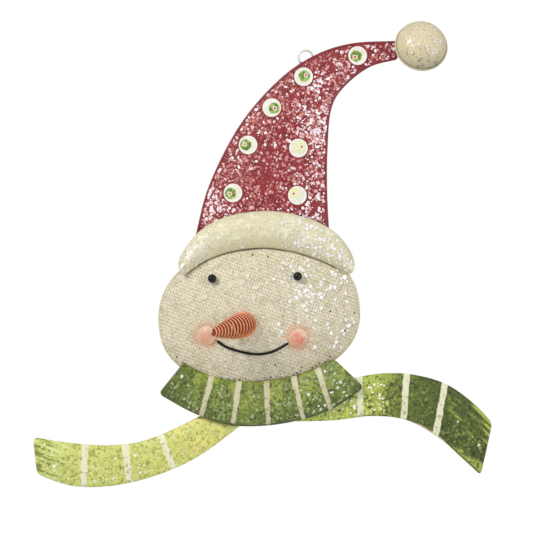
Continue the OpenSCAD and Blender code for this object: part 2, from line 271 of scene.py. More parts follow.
def weave_grid(low, high):
    """Grid over a box, its lines laid along the wires, SAMPLES_PER_WIRE steps from one to the next."""
    corners = np.array([(x, z) for x in (low[0], high[0]) for z in (low[1], high[1])])
    p, q = wire_count(corners[:, 0], corners[:, 1])
    p = np.arange(math.floor(p.min()) * SAMPLES_PER_WIRE, math.ceil(p.max()) * SAMPLES_PER_WIRE + 1)
    q = np.arange(math.floor(q.min()) * SAMPLES_PER_WIRE, math.ceil(q.max()) * SAMPLES_PER_WIRE + 1)
    p, q = np.meshgrid(p * WARP_PITCH / SAMPLES_PER_WIRE, q * WEFT_PITCH / SAMPLES_PER_WIRE, indexing="ij")
    return lean(p, q, WEAVE_TURN)


def open_holes(x, z, chance, seed):
    """1 in the middle of an opening that the paint left open, for a share `chance` of the openings."""
    p, q = wire_count(x, z)
    dice = np.random.default_rng(seed).random((256, 256))
    picked = dice[np.floor(p).astype(int) % 256, np.floor(q).astype(int) % 256] < chance
    return picked * (np.sin(np.pi * p) * np.sin(np.pi * q)) ** 2


def new_piece(name, points, faces, layers):
    """Mesh object from points in millimetres from the datum, four-cornered faces and named point layers."""
    used, faces = np.unique(faces, return_inverse=True)
    mesh = bpy.data.meshes.new(name)
    mesh.from_pydata(hung(points[used]), [], faces.reshape(-1, 4))
    for layer, values in layers.items():
        made = mesh.attributes.new(layer, "FLOAT", "POINT")
        made.data.foreach_set("value", values[used].astype(np.float32))
    mesh.polygons.foreach_set("use_smooth", np.ones(len(mesh.polygons), bool))
    mesh.update()
    piece = bpy.data.objects.new(name, mesh)
    bpy.context.scene.collection.objects.link(piece)
    return piece


# Layers on both sides: painted shade in the weave's hollows, a painted highlight on its ridges, and painted
# shade in open holes and between lumps of grit.
BOTH_SIDES = ("hollow", "ridge", "hole", "crevice")


def plate(name, front, back, cells=None, **layers):
    """Closed plate: a grid of front points, a grid of back points behind it, and a wall round every
    edge of the kept cells. Rows run to +x and columns to +z, so the front faces -y. Layers of paint are
    on the front alone, and the layers of painted shade and highlight that follow the metal's relief are on
    both sides."""
    rows, cols = front.shape[:2]
    if cells is None:
        cells = np.ones((rows - 1, cols - 1), bool)
    number = np.arange(rows * cols).reshape(rows, cols)
    a, b, c, d = number[:-1, :-1], number[1:, :-1], number[1:, 1:], number[:-1, 1:]
    around = np.pad(cells, 1)
    sides = ((a, b, around[1:-1, :-2]), (b, c, around[2:, 1:-1]),
             (c, d, around[1:-1, 2:]), (d, a, around[:-2, 1:-1]))
    count = rows * cols
    quads = np.stack([a, b, c, d], -1)[cells]
    walls = [np.stack([q, p, p + count, q + count], -1)[cells & ~next_cell] for p, q, next_cell in sides]
    faces = np.concatenate([quads, quads[:, ::-1] + count, *walls])
    points = np.concatenate([front.reshape(-1, 3), back.reshape(-1, 3)])
    layers = {k: np.concatenate([v.ravel(), v.ravel() * (k in BOTH_SIDES)]) for k, v in layers.items()}
    return new_piece(name, points, faces, layers)


def paint(name, dark, middle, light, grain, roughness, layers=(), relief=0.25, coat=0.0, clouds=0.3):
    """Mottled brush paint: a broad and a fine noise on object coordinates carry the colour from dark to
    light, the broad one by a share `clouds`, and the fine one raises the surface. Each layer (attribute,
    colour, patchiness) is painted over where its attribute is 1, broken up by the fine noise."""
    material, nodes, links, shader = finish(
        name, {"Roughness": roughness, "Coat Weight": coat, "Coat Roughness": 0.25})
    place = nodes.new("ShaderNodeTexCoord")

    def noise(size, detail):
        """Noise with grains of `size` millimetres."""
        made = nodes.new("ShaderNodeTexNoise")
        made.inputs["Scale"].default_value = 1 / (size * MM)
        made.inputs["Detail"].default_value = detail
        made.inputs["Roughness"].default_value = 0.6
        links.new(place.outputs["Object"], made.inputs["Vector"])
        return made.outputs["Fac"]

    broad, fine = noise(grain * 6, 3), noise(grain, 4)
    both = nodes.new("ShaderNodeMix")
    both.inputs[0].default_value = clouds
    links.new(fine, both.inputs[2])
    links.new(broad, both.inputs[3])
    ramp = nodes.new("ShaderNodeValToRGB")
    ramp.color_ramp.elements[0].position = 0.34
    ramp.color_ramp.elements[0].color = (*dark, 1)
    ramp.color_ramp.elements[1].position = 0.66
    ramp.color_ramp.elements[1].color = (*light, 1)
    ramp.color_ramp.elements.new(0.5).color = (*middle, 1)
    links.new(both.outputs[0], ramp.inputs[0])
    colour = ramp.outputs[0]
    for attribute, tint, patchiness in layers:
        amount = nodes.new("ShaderNodeAttribute")
        amount.attribute_name = attribute
        patch = nodes.new("ShaderNodeMapRange")
        patch.inputs["From Min"].default_value = 0.35
        patch.inputs["From Max"].default_value = 0.6
        patch.inputs["To Min"].default_value = 1 - patchiness
        links.new(fine, patch.inputs["Value"])
        share = nodes.new("ShaderNodeMath")
        share.operation = "MULTIPLY"
        share.use_clamp = True
        links.new(amount.outputs["Fac"], share.inputs[0])
        links.new(patch.outputs[0], share.inputs[1])
        over = nodes.new("ShaderNodeMix")
        over.data_type = "RGBA"
        over_colours = [s for s in over.inputs if s.type == "RGBA"]
        over_colours[1].default_value = (*tint, 1)
        links.new(share.outputs[0], over.inputs[0])
        links.new(colour, over_colours[0])
        colour = [s for s in over.outputs if s.type == "RGBA"][0]
    links.new(colour, shader.inputs["Base Color"])
    bump = nodes.new("ShaderNodeBump")
    bump.inputs["Strength"].default_value = relief
    bump.inputs["Distance"].default_value = 0.3 * MM
    links.new(fine, bump.inputs["Height"])
    links.new(bump.outputs[0], shader.inputs["Normal"])
    return material


CHEEKS = ((-29.1, -16.5), (20.8, -17.9))
NOSE_AT = (-8.8, -10.4)
WEAVE_RISE = 0.26
HOLE_DEPTH = 0.35
UNDER_WIRE = 0.4       # how far in the screen ends under its edge wire, as a share of the wire

x, z = weave_grid((oval_x.min(), oval_z.min()), (oval_x.max(), oval_z.max()))
share = face_share(x, z)
height = weave_height(x, z, 3)
lower = ease(-z, 20, 40)
chance = 0.003 + 0.42 * lower * ease(share, 0.92, 0.94) * (share < 0.965) + 0.02 * ease(z, 22, 32)
# The openings that the paint left open are painted near black, as painted shade for what shows through them.
hole = open_holes(x, z, chance, 5)
inside = share < 1 - UNDER_WIRE * EDGE_WIRE / FACE_HALF_WIDTH


def screen(name, x, z, depth, height, inside, pit=0, **layers):
    """Plate of painted screen: its two sides half its thickness from `depth`, both following the weave,
    the front less deep by `pit`. It keeps the cells of the grid with all four corners inside."""
    front = np.stack([x, depth - MESH_THICK / 2 - WEAVE_RISE * height + pit, z], -1)
    back = np.stack([x, depth + MESH_THICK / 2 + WEAVE_RISE * (1 - height), z], -1)
    cells = inside[:-1, :-1] & inside[1:, :-1] & inside[1:, 1:] & inside[:-1, 1:]
    return plate(name, front, back, cells, **layers)


def spray(x, z, places, reach, core):
    """Paint sprayed round each place: full out to `core`, thinning to nothing at `reach`, speckled."""
    distance = np.min([np.hypot(x - px, z - pz) for px, pz in places], axis=0)
    speckle = 0.55 + 0.9 * mottle(x, z, 0.8, 11)
    return np.clip((1 - ease(distance, core, reach)) * speckle, 0, 1)


# The cuff stands off the face along this line, its lower edge; the shadow in the gap under it is painted dark
# on the face.
CUFF_EDGE = np.array([[-42.6, 15.4], [-36, 20.5], [-27, 25.7], [-14, 29.8], [2, 31.4], [18, 29.3],
                      [32, 24.9], [42.5, 20.2], [50, 16.3]])
GAP_HALF_LENGTH = 41
below_cuff = np.interp(x, *CUFF_EDGE.T) - z
# Painted shadow: a dark band on the face just under the cuff's lower edge.
gap = ease(below_cuff, -0.9, -0.3) * (1 - ease(below_cuff, 0.3, 0.9)) * (np.abs(x) < GAP_HALF_LENGTH)
face_mesh = screen(
    "face_mesh", x, z, face_depth(x, z), height, inside, HOLE_DEPTH * hole,
    hollow=ease(-height, -0.34, -0.04), ridge=ease(height, 0.42, 0.9), hole=np.clip(hole * 1.6, 0, 1),
    blush=spray(x, z, CHEEKS, 10.5, 4.0) * 0.6,
    overspray=spray(x, z, [NOSE_AT], 12.0, 4.0) * 0.2,
    # Painted shade: the face is darker towards its lower right, away from the key light.
    tanned=0.25 * ease(0.9 * x - z, 35, 70), gap=0.8 * gap,
    # Painted shade inside the coil's foot, darkening the orange sprayed through the coil onto the screen.
    inside_nose=1 - ease(np.hypot(x - NOSE_AT[0], z - NOSE_AT[1]), 5.6, 6.4))
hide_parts("face_panel")
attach(face_mesh, "ornament")
# On the face, the hollow colour is painted shade in the weave's hollows and the ridge colour is a painted
# highlight on its ridges.
face_mesh.data.materials.append(paint(
    "cream_screen_paint", rgb(166, 158, 128), rgb(210, 202, 174), rgb(238, 232, 210), 0.9, 0.6,
    [("hollow", rgb(136, 126, 92), 0.6), ("ridge", rgb(240, 234, 212), 0.7),
     ("tanned", rgb(176, 158, 116), 0.6), ("blush", rgb(226, 140, 114), 0.4),
     ("overspray", rgb(216, 150, 110), 0.4), ("inside_nose", rgb(150, 70, 44), 0.0),
     ("gap", rgb(58, 54, 40), 0.3), ("hole", rgb(36, 34, 30), 0.0)],
    relief=0.5, clouds=0.15))


def along_wire(path):
    """Unit direction of a wire at each point of its path, and the distance run from its start."""
    way = np.gradient(path, axis=0)
    way /= np.linalg.norm(way, axis=1)[:, None]
    steps = np.linalg.norm(np.diff(path, axis=0), axis=1)
    return way, np.concatenate([[0], np.cumsum(steps)])


def loft(name, rings, closed=False, **layers):
    """Skin over rings of points. An open end is closed by a strip of quads between opposite points of
    its ring. Turning along a ring, then on to the next ring, the faces point outwards."""
    count, sides = rings.shape[:2]
    number = np.arange(count * sides).reshape(count, sides)
    after = np.roll(number, -1, 1)
    ahead = np.roll(number, -1, 0), np.roll(after, -1, 0)
    skin = np.stack([number, after, ahead[1], ahead[0]], -1)[:count if closed else count - 1]
    faces = [skin.reshape(-1, 4)]
    if not closed:
        k = np.arange(sides // 2 - 1)
        strip = np.stack([k, k + 1, sides - k - 2, sides - k - 1], -1)
        faces += [strip[:, ::-1], strip + (count - 1) * sides]
    layers = {k: v.ravel() for k, v in layers.items()}
    return new_piece(name, rings.reshape(-1, 3), np.concatenate(faces), layers)


def wire_rings(path, side, radius, sides=14, closed=False, rounded=(True, True)):
    """Circles of `radius` round a path; side points across the wire. A rounded end shrinks as a ball does,
    by the square root of one minus the square of the distance into it."""
    way, run = along_wire(np.vstack([path[-1], path, path[0]]) if closed else path)
    if closed:
        way, run = way[1:-1], run[1:-1]
    reach = np.full(len(path), radius)
    for end, distance in zip(rounded, (run, run[-1] - run)):
        if end and not closed:
            reach *= np.sqrt(np.clip(1 - np.clip(1 - distance / radius, 0, 0.998) ** 2, 0, 1))
    across = side - np.sum(side * way, 1)[:, None] * way
    across /= np.linalg.norm(across, axis=1)[:, None]
    other = np.cross(way, across)
    turn = np.linspace(0, 2 * np.pi, sides, endpoint=False)[:, None]
    spoke = across[:, None] * np.cos(turn) + other[:, None] * np.sin(turn)
    return path[:, None] + reach[:, None, None] * spoke


def spaced(length, radius, count):
    """Shares of a wire's length: close together over its rounded ends, even between them."""
    bend = radius / length * (1 - np.cos(np.linspace(0, np.pi / 2, 6)[:-1]))
    return np.concatenate([bend, np.linspace(radius / length, 1 - radius / length, count), 1 - bend[::-1]])


def edge_wire(name, path):
    """Closed loop of edge wire along a path."""
    backwards = np.tile([0.0, 1.0, 0.0], (len(path), 1))
    return loft(name, wire_rings(path, backwards, EDGE_WIRE / 2, closed=True), closed=True)


turn = np.linspace(0, 2 * np.pi, 420, endpoint=False)
rim_x, rim_z = face_outline(1 - EDGE_WIRE / 2 / FACE_HALF_WIDTH, turn)
face_edge = edge_wire("face_edge_wire", np.stack([rim_x, np.zeros_like(rim_x), rim_z], -1))
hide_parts("face_rim")
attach(face_edge, "ornament")
face_edge.data.materials.append(paint(
    "cream_wire_paint", rgb(176, 164, 128), rgb(206, 195, 160), rgb(224, 215, 184), 2.0, 0.5))

# ---------------------------------------------------------------- eyes, cheeks and mouth
# The eyes are glossy black beads pinned through the screen. The cheeks are small pressed caps, cream
# with pink sprayed on, and the mouth is a bent wire painted black; both are glued on.


def gloss(name, colour, roughness, metallic=0.0, specular=0.5):
    """Smooth hard finish whose shine is broken by a faint noise on object coordinates."""
    material, nodes, links, shader = finish(name, {"Metallic": metallic, "Specular IOR Level": specular})
    place = nodes.new("ShaderNodeTexCoord")
    smear = nodes.new("ShaderNodeTexNoise")
    smear.inputs["Scale"].default_value = 900
    smear.inputs["Detail"].default_value = 4
    links.new(place.outputs["Object"], smear.inputs["Vector"])
    for socket, low, high in (("Base Color", 0.75, 1.25), ("Roughness", roughness * 0.6, roughness * 1.5)):
        if socket == "Roughness":
            spread = nodes.new("ShaderNodeMapRange")
            spread.inputs["To Min"].default_value, spread.inputs["To Max"].default_value = low, high
        else:
            spread = nodes.new("ShaderNodeValToRGB")
            spread.color_ramp.elements[0].color = (*(c * low for c in colour), 1)
            spread.color_ramp.elements[1].color = (*(min(1, c * high) for c in colour), 1)
        links.new(smear.outputs["Fac"], spread.inputs[0])
        links.new(spread.outputs[0], shader.inputs[socket])
    return material


def refinish(node, material):
    """Gives a CAD node that stays its own finish."""
    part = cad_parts[node]
    for place in part.material_slots:
        place.material = material


bead_black = gloss("black_bead_glass", (0.004, 0.004, 0.005), 0.14, specular=0.35)
for node in ("left_eye", "right_eye"):
    refinish(node, bead_black)


def on_face(x, z):
    """Point on the dome's middle sheet."""
    return np.stack([x, face_depth(x, z), z], -1)


def face_stand(x, z, lift):
    """Points `lift` above the face at x, z, and the direction straight out of the dome there: the slopes
    of its depth along x and z, and one towards -y."""
    step = 0.5
    slope_x = (face_depth(x + step, z) - face_depth(x - step, z)) / (2 * step)
    slope_z = (face_depth(x, z + step) - face_depth(x, z - step)) / (2 * step)
    normal = np.stack([slope_x, np.full_like(slope_x, -1.0), slope_z], -1)
    normal /= np.linalg.norm(normal, axis=-1, keepdims=True)
    return on_face(x, z) + lift * normal, normal


def turned(profile, foot, normal, sides=64):
    """Rings of a turned shape: each point of the profile is a radius and a height above `foot`,
    carried round the direction `normal`. The profile runs from the back, round the rim, to the front."""
    side = np.cross(normal, [0.0, 0.0, 1.0])
    side /= np.linalg.norm(side)
    other = np.cross(normal, side)
    turn = np.linspace(0, 2 * np.pi, sides, endpoint=False)[:, None]
    spoke = side * np.cos(turn) + other * np.sin(turn)
    return foot + profile[:, 0, None, None] * spoke + profile[:, 1, None, None] * normal


def pressed_cap(radius, rise, thick, steps=26):
    """Profile of a shallow cap: height falls with the square of the radius, the edge is rounded."""
    share = np.linspace(0.02, 1, steps)
    inner = np.stack([share[::3] * radius, rise * (1 - share[::3] ** 2)], -1)
    edge = np.array([[radius, 0.0], [radius + 0.1, thick * 0.35], [radius + 0.05, thick * 0.75]])
    outer = np.stack([share[::-1] * radius, thick + rise * (1 - share[::-1] ** 2)], -1)
    return np.concatenate([inner, edge, outer])


CHEEK_DIAMETER = 10.8
GLUE = 0.05            # the gap that glue or solder fills between a piece and the one behind it
for side_name, (cheek_x, cheek_z), sprayed in zip(("left", "right"), CHEEKS, (0.7, 1.0)):
    foot, normal = face_stand(cheek_x, cheek_z, MESH_THICK / 2 + GLUE)
    rings = turned(pressed_cap(CHEEK_DIAMETER / 2 - 0.1, 1.9, 0.5), foot, normal)
    rings += 0.14 * (mottle(rings[..., 0], rings[..., 2], 1.1, 21)[..., None] - 0.5) * normal
    away = np.hypot(rings[..., 0] - cheek_x + 0.4, rings[..., 2] - cheek_z + 1.0)
    speckle = 0.7 + 0.6 * mottle(rings[..., 0], rings[..., 2], 0.7, 22)
    cheek = loft(f"{side_name}_cheek_cap", rings, blush=(1 - ease(away, 2.0, 6.4)) * speckle * sprayed)
    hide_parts(f"{side_name}_cheek")
    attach(cheek, "ornament")
    cheek.data.materials.append(paint(
        f"{side_name}_cheek_paint", rgb(202, 172, 138), rgb(226, 200, 170), rgb(242, 226, 204), 1.0, 0.4,
        [("blush", rgb(222, 128, 104), 0.5)], relief=0.4, coat=0.3))

MOUTH_LINE = np.array([[-23.6, -19.4], [-16.5, -23.4], [-3.3, -26.5], [6.6, -25.2], [15.4, -20.5]])
MOUTH_WIRE = 1.4
MOUTH_LENGTH = 43.0


def curve(points, t):
    """Smooth curve through points for t from 0 to 1: a cubic between two points, its slope at each
    being half the step between the points either side, with the ends carried straight on."""
    points = np.asarray(points, float)
    spans = len(points) - 1
    t = np.asarray(t, float)
    k = np.clip(np.floor(t * spans).astype(int), 0, spans - 1)
    f = t * spans - k
    padded = np.concatenate([2 * points[:1] - points[1:2], points, 2 * points[-1:] - points[-2:-1]])
    if points.ndim > 1:
        f = f[..., None]
    a, b, c, d = (padded[k + step] for step in range(4))
    bend, twist = 2 * a - 5 * b + 4 * c - d, 3 * b - a - 3 * c + d
    return 0.5 * (2 * b + (c - a) * f + bend * f ** 2 + twist * f ** 3)


mouth_x, mouth_z = curve(MOUTH_LINE, spaced(MOUTH_LENGTH, MOUTH_WIRE / 2, 90)).T
mouth_path, mouth_side = face_stand(mouth_x, mouth_z, (MESH_THICK + MOUTH_WIRE) / 2 + GLUE)
mouth = loft("mouth", wire_rings(mouth_path, mouth_side, MOUTH_WIRE / 2))
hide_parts("mouth_wire")
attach(mouth, "ornament")
mouth.data.materials.append(gloss("black_wire_paint", (0.004, 0.004, 0.004), 0.35, specular=0.2))

# ---------------------------------------------------------------- nose
# The nose is a spring wound from one wire, painted orange and bent to the left, with its first turn
# against the screen. It is drawn as two lengths, split at NOSE_SPLIT along the coil.

NOSE_TURNS = 15
NOSE_CLOSING = 0.3
NOSE_WIRE = 1.0
NOSE_DRAWN = 0.88      # the wire's outline is kept a hair inside the CAD's
NOSE_BASE = 14.4
NOSE_TIP = 4.4
NOSE_FULLNESS = 2.7
NOSE_LIFT = 0.4
NOSE_BULGE = np.array([-2.0, -12.0, -1.2])
NOSE_REACH = np.array([-16.5, -22.5, -4.4])
NOSE_SPLIT = 0.45
nose_foot = on_face(*NOSE_AT) - [0, MESH_THICK + NOSE_WIRE / 2 + NOSE_LIFT, 0]


def nose_axis(s):
    """Middle line of the coil: a quadratic curve pulled by the bulge first and the reach at its tip."""
    s = np.asarray(s, float)[..., None]
    return nose_foot + 2 * s * (1 - s) * NOSE_BULGE + s * s * NOSE_REACH


def nose_turn(s):
    """Turns wound up to s: partly even, partly with the cube of s, so that they close up at the tip."""
    return NOSE_TURNS * ((1 - NOSE_CLOSING) * s + NOSE_CLOSING * s ** 3)


def nose_coil(s):
    """Path of the coiled wire and its direction away from the axis: a circle that goes round once a
    turn, its radius shrinking by a power of s, held square to the axis."""
    way = (1 - 2 * s)[:, None] * NOSE_BULGE + s[:, None] * NOSE_REACH
    way /= np.linalg.norm(way, axis=1)[:, None]
    side = np.cross(way, [0.0, 0.0, 1.0])
    side /= np.linalg.norm(side, axis=1)[:, None]
    other = np.cross(side, way)
    radius = (NOSE_BASE + (NOSE_TIP - NOSE_BASE) * s ** NOSE_FULLNESS) / 2 - NOSE_WIRE / 2
    angle = 2 * np.pi * nose_turn(s)
    spoke = np.cos(angle)[:, None] * side + np.sin(angle)[:, None] * other
    return nose_axis(s) + radius[:, None] * spoke, spoke


# The inner colour is painted shade on the coil's inner side, where its paint is also thinner; the top colour
# is a painted sheen on its upper outer side.
orange = paint(
    "orange_wire_paint", rgb(206, 112, 62), rgb(232, 144, 88), rgb(250, 184, 134), 0.8, 0.42,
    [("inner", rgb(132, 50, 28), 0.1), ("top", rgb(242, 158, 130), 0.3)], coat=0.25)
# Each length: its name, its node, where it starts and ends, its two bodies, and where it bends
NOSE_LENGTHS = (
    ("nose_lower_turns", "nose_coil_lower", 0.0, NOSE_SPLIT,
     ("ornament", "nose_lower"), (0.0, NOSE_SPLIT)),
    ("nose_upper_turns", "nose_coil_upper", NOSE_SPLIT, 1.0,
     ("nose_lower", "nose_upper"), (NOSE_SPLIT, 0.75)))
STEPS_PER_TURN = 44
for name, node, first, last, bodies, bend in NOSE_LENGTHS:
    s = np.linspace(first, last, 2001)
    wound = nose_turn(s)
    steps = round((wound[-1] - wound[0]) * STEPS_PER_TURN)
    s = np.interp(np.linspace(wound[0], wound[-1], steps), wound, s)
    path, spoke = nose_coil(s)
    rings = wire_rings(path, spoke, NOSE_DRAWN / 2, sides=12, rounded=(first == 0, last == 1))
    outward = np.sum((rings - path[:, None]) * spoke[:, None], -1) / (NOSE_WIRE / 2)
    upward = (rings[..., 2] - nose_axis(s)[:, None, 2]) / (NOSE_BASE / 2)
    nose = loft(name, rings, inner=ease(-outward, -0.55, 0.25),
                top=ease(upward, 0.2, 0.9) * ease(outward, 0.2, 0.6))
    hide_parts(node)
    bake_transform(nose)
    nose.data.materials.append(orange)

# ---------------------------------------------------------------- hat
# The hat is a second piece of the same screen, bulged forward between its edge wires and painted red.
# Its lower end is behind the cuff, and seven painted discs are glued to it.

HAT_EDGE_SLOPE = 0.22
HAT_LEFT = [[-36, 36], [-28.3, 65], [-12, 97.5], [8, 121.5], [28, 136.2], [50, 143.6], [79, 145.3]]
HAT_RIGHT = [[38.2, 36], [36.9, 62], [37.1, 86], [39, 107], [45.5, 119], [59.5, 130.3], [74.6, 134.8]]


def breadth(one, other, v):
    """Distance between two edges at v."""
    return np.linalg.norm(curve(one, v) - curve(other, v), axis=-1)


def on_hat(v, u):
    """Point on the hat's middle sheet, v up it and u across it: the two edges mixed by u, and a depth
    of slope times width times u times one minus u."""
    left, right = curve(HAT_LEFT, v), curve(HAT_RIGHT, v)
    flat = left + (right - left) * u[..., None]
    depth = -HAT_EDGE_SLOPE * breadth(HAT_LEFT, HAT_RIGHT, v) * u * (1 - u)
    return np.stack([flat[..., 0], depth, flat[..., 1]], -1)


def hat_shares(x, z):
    """The v and u of flat points: v is where a point changes sides of the line from edge to edge."""
    v = np.linspace(-0.05, 1.05, 331)
    left, right = curve(HAT_LEFT, v), curve(HAT_RIGHT, v)
    chord = right - left
    above = chord[:, 0] * (z[..., None] - left[:, 1]) - chord[:, 1] * (x[..., None] - left[:, 0])
    k = np.clip((above > 0).sum(-1) - 1, 0, len(v) - 2)
    low = np.take_along_axis(above, k[..., None], -1)[..., 0]
    high = np.take_along_axis(above, k[..., None] + 1, -1)[..., 0]
    found = v[k] + (v[1] - v[0]) * np.clip(low / (low - high), 0, 1)
    left, right = curve(HAT_LEFT, found), curve(HAT_RIGHT, found)
    chord = right - left
    along = (x - left[..., 0]) * chord[..., 0] + (z - left[..., 1]) * chord[..., 1]
    return found, along / np.sum(chord ** 2, -1), np.linalg.norm(chord, axis=-1)


hat_corners = np.array(HAT_LEFT + HAT_RIGHT)
x, z = weave_grid(hat_corners.min(0) - 1, hat_corners.max(0) + 1)
v, u, width = hat_shares(x, z)
height = weave_height(x, z, 4)
margin = UNDER_WIRE * EDGE_WIRE / width
inside = (u > margin) & (u < 1 - margin) & (v > 0.006) & (v < 0.994) & (z > HAT_LEFT[0][1])
hat_mesh = screen("hat_mesh", x, z, -HAT_EDGE_SLOPE * width * u * (1 - u), height, inside,
                  hollow=ease(-height, -0.36, -0.05), ridge=ease(height, 0.5, 1.0))
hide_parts("hat_panel")
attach(hat_mesh, "ornament")
# On the hat, the hollow colour is painted shade in the weave's hollows and the ridge colour is a painted
# highlight on its ridges.
hat_mesh.data.materials.append(paint(
    "red_screen_paint", rgb(98, 10, 20), rgb(138, 20, 32), rgb(170, 38, 48), 1.2, 0.38,
    [("hollow", rgb(52, 2, 8), 0.3), ("ridge", rgb(186, 58, 66), 0.7)], relief=0.4, coat=0.3))

HAT_FOOT, HAT_END = 0.004, 0.995       # v of the edge wire where it crosses at the foot and at the end
ups = np.linspace(HAT_FOOT, HAT_END, 150)
edge_share = EDGE_WIRE / 2 / breadth(HAT_LEFT, HAT_RIGHT, ups)
over = np.linspace(edge_share[-1], 1 - edge_share[-1], 24)[1:-1]
under = np.linspace(1 - edge_share[0], edge_share[0], 90)[1:-1]
hat_edge_v = np.concatenate([ups, np.full_like(over, HAT_END), ups[::-1], np.full_like(under, HAT_FOOT)])
hat_edge_u = np.concatenate([edge_share, over, 1 - edge_share[::-1], under])
hat_edge = edge_wire("hat_edge_wire", on_hat(hat_edge_v, hat_edge_u))
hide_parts("hat_rim")
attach(hat_edge, "ornament")
hat_edge.data.materials.append(paint(
    "red_wire_paint", rgb(92, 14, 22), rgb(124, 24, 34), rgb(156, 44, 54), 1.5, 0.45, coat=0.2))

# Each disc: v and u on the hat, then where its green spot and the white dot in that lie on it, and
# whether the green was brushed full or washed thin.
HAT_DISCS = (
    (0.825, 0.48, (-0.8, -0.3), (-1.5, -0.8), True), (0.58, 0.27, (0.4, 0.4), (1.2, 1.1), True),
    (0.42, 0.21, (1.3, -0.3), (1.6, -0.4), True), (0.29, 0.19, (-1.4, 0.1), (-1.9, 0.5), True),
    (0.31, 0.69, (0.9, 0.4), (1.9, 0.7), False), (0.15, 0.22, (-1.4, -0.2), (-1.9, -0.4), True),
    (0.15, 0.75, (-1.7, 1.1), (-2.0, 0.9), False))
DISC_DIAMETER = 10.4
SPOT_RADIUS = 3.2


def rimmed_disc(radius, thick, steps=30):
    """Profile of a pressed disc: slightly domed, with a rounded bead near its edge."""
    share = np.linspace(0.02, 1, steps)
    inner = np.stack([share[::4] * radius, 0.5 * (1 - share[::4] ** 2)], -1)
    bead = 0.28 * np.exp(-((share - 0.92) / 0.05) ** 2)
    outer = np.stack([share * radius, thick + 0.4 * (1 - share ** 2) + bead], -1)[::-1]
    return np.concatenate([inner, [[radius + 0.08, 0.15], [radius + 0.08, thick * 0.7]], outer])


disc_paint = paint(
    "white_disc_paint", rgb(212, 208, 184), rgb(232, 230, 214), rgb(246, 244, 234), 0.9, 0.35,
    [("rim", rgb(244, 243, 236), 0.2), ("green", rgb(84, 116, 36), 0.0), ("lime", rgb(178, 202, 104), 0.4),
     ("washed", rgb(226, 238, 160), 0.5), ("white", rgb(240, 236, 226), 0.0),
     ("red", rgb(206, 44, 66), 0.0)], relief=0.4, coat=0.4)
for number, (disc_v, disc_u, green_at, white_at, full) in enumerate(HAT_DISCS, 1):
    step = 0.02 * np.array([[0, 0], [0, 1], [0, -1], [1, 0], [-1, 0]])
    points = on_hat(disc_v + step[:, 0], disc_u + step[:, 1])
    normal = np.cross(points[1] - points[2], points[3] - points[4])
    normal /= np.linalg.norm(normal)
    foot = points[0] + (MESH_THICK / 2 + GLUE) * normal
    rings = turned(rimmed_disc(DISC_DIAMETER / 2 - 0.08, 0.5), foot, normal, 72)
    dx, dz = rings[..., 0] - points[0][0], rings[..., 2] - points[0][2]
    wobble = 0.5 * (mottle(dx + number * 9, dz, 1.4, 31) - 0.5)
    from_green = np.hypot(dx - green_at[0], dz - green_at[1]) + wobble
    green = 1 - ease(from_green, SPOT_RADIUS - 0.35, SPOT_RADIUS + 0.1)
    from_white = np.hypot(dx - white_at[0], dz - white_at[1]) + 0.5 * wobble
    disc = loft(f"hat_disc_{number}", rings, green=green * full,
                lime=green * full * ease(mottle(dx, dz + number * 7, 0.9, 32), 0.25, 0.8),
                washed=green * (not full) * ease(mottle(dx, dz + number * 7, 1.2, 33), 0.1, 0.6),
                # Painted highlight: the rim over the bead is paler.
                rim=ease(np.hypot(dx, dz), 4.1, 4.6),
                white=1 - ease(from_white, 1.0, 1.35), red=1 - ease(from_white, 0.5, 0.8))
    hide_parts(f"hat_dot_{number}")
    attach(disc, "ornament")
    disc.data.materials.append(disc_paint)

# ---------------------------------------------------------------- cuff
# The cuff is a curved strip of thin sheet, crowned along its middle and brushed with thick cream
# paint. Drops of solder behind it hold it to the hat and the face.

SHEET_THICK = 0.7
HAIR_IN = 0.998        # share of each strip's length and width that is drawn, so it stays inside the CAD's


def on_strip(strip, v, u):
    """Point on a strip's front, v along it and u across it: its two edges and their depths mixed by u,
    and a crown of four times u times one minus u towards -y."""
    top, low, top_depth, low_depth, crown = strip
    flat = curve(top, v) * (1 - u)[..., None] + curve(low, v) * u[..., None]
    depth = curve(top_depth, v) * (1 - u) + curve(low_depth, v) * u
    return np.stack([flat[..., 0], depth - crown * 4 * u * (1 - u), flat[..., 1]], -1)


def strip_grid(strip, length, first_corner, last_corner, step=0.34):
    """The v and u of a grid over a strip, u from its lower edge up, drawn in by a quarter circle
    at each end's corners, with the distance along it and up from its lower edge in millimetres."""
    def round_off(radius):
        """Distances into a rounded corner, by one minus the cosine, so that they are closest at the end."""
        return radius * (1 - np.cos(np.linspace(0, np.pi / 2, 9)[:-1])) if radius else np.array([])
    along = np.concatenate([
        round_off(first_corner), np.linspace(first_corner, length - last_corner, round(length / step)),
        length - round_off(last_corner)[::-1]])
    v = 0.5 + (along / length - 0.5) * HAIR_IN
    width = breadth(strip[0], strip[1], v)
    drawn = np.zeros_like(along)
    for radius, distance in ((first_corner, along), (last_corner, length - along)):
        if radius:
            into = np.clip(radius - distance, 0, radius)
            drawn = np.maximum(drawn, radius - np.sqrt(radius ** 2 - into ** 2))
    drawn = (drawn / width)[:, None]
    across = np.linspace(0, 1, round(width.mean() / step))
    u = 0.5 + (0.5 - drawn - (1 - 2 * drawn) * across) * HAIR_IN
    v = np.tile(v[:, None], (1, len(across)))
    return v, u, v * length, (1 - u) * width[:, None]


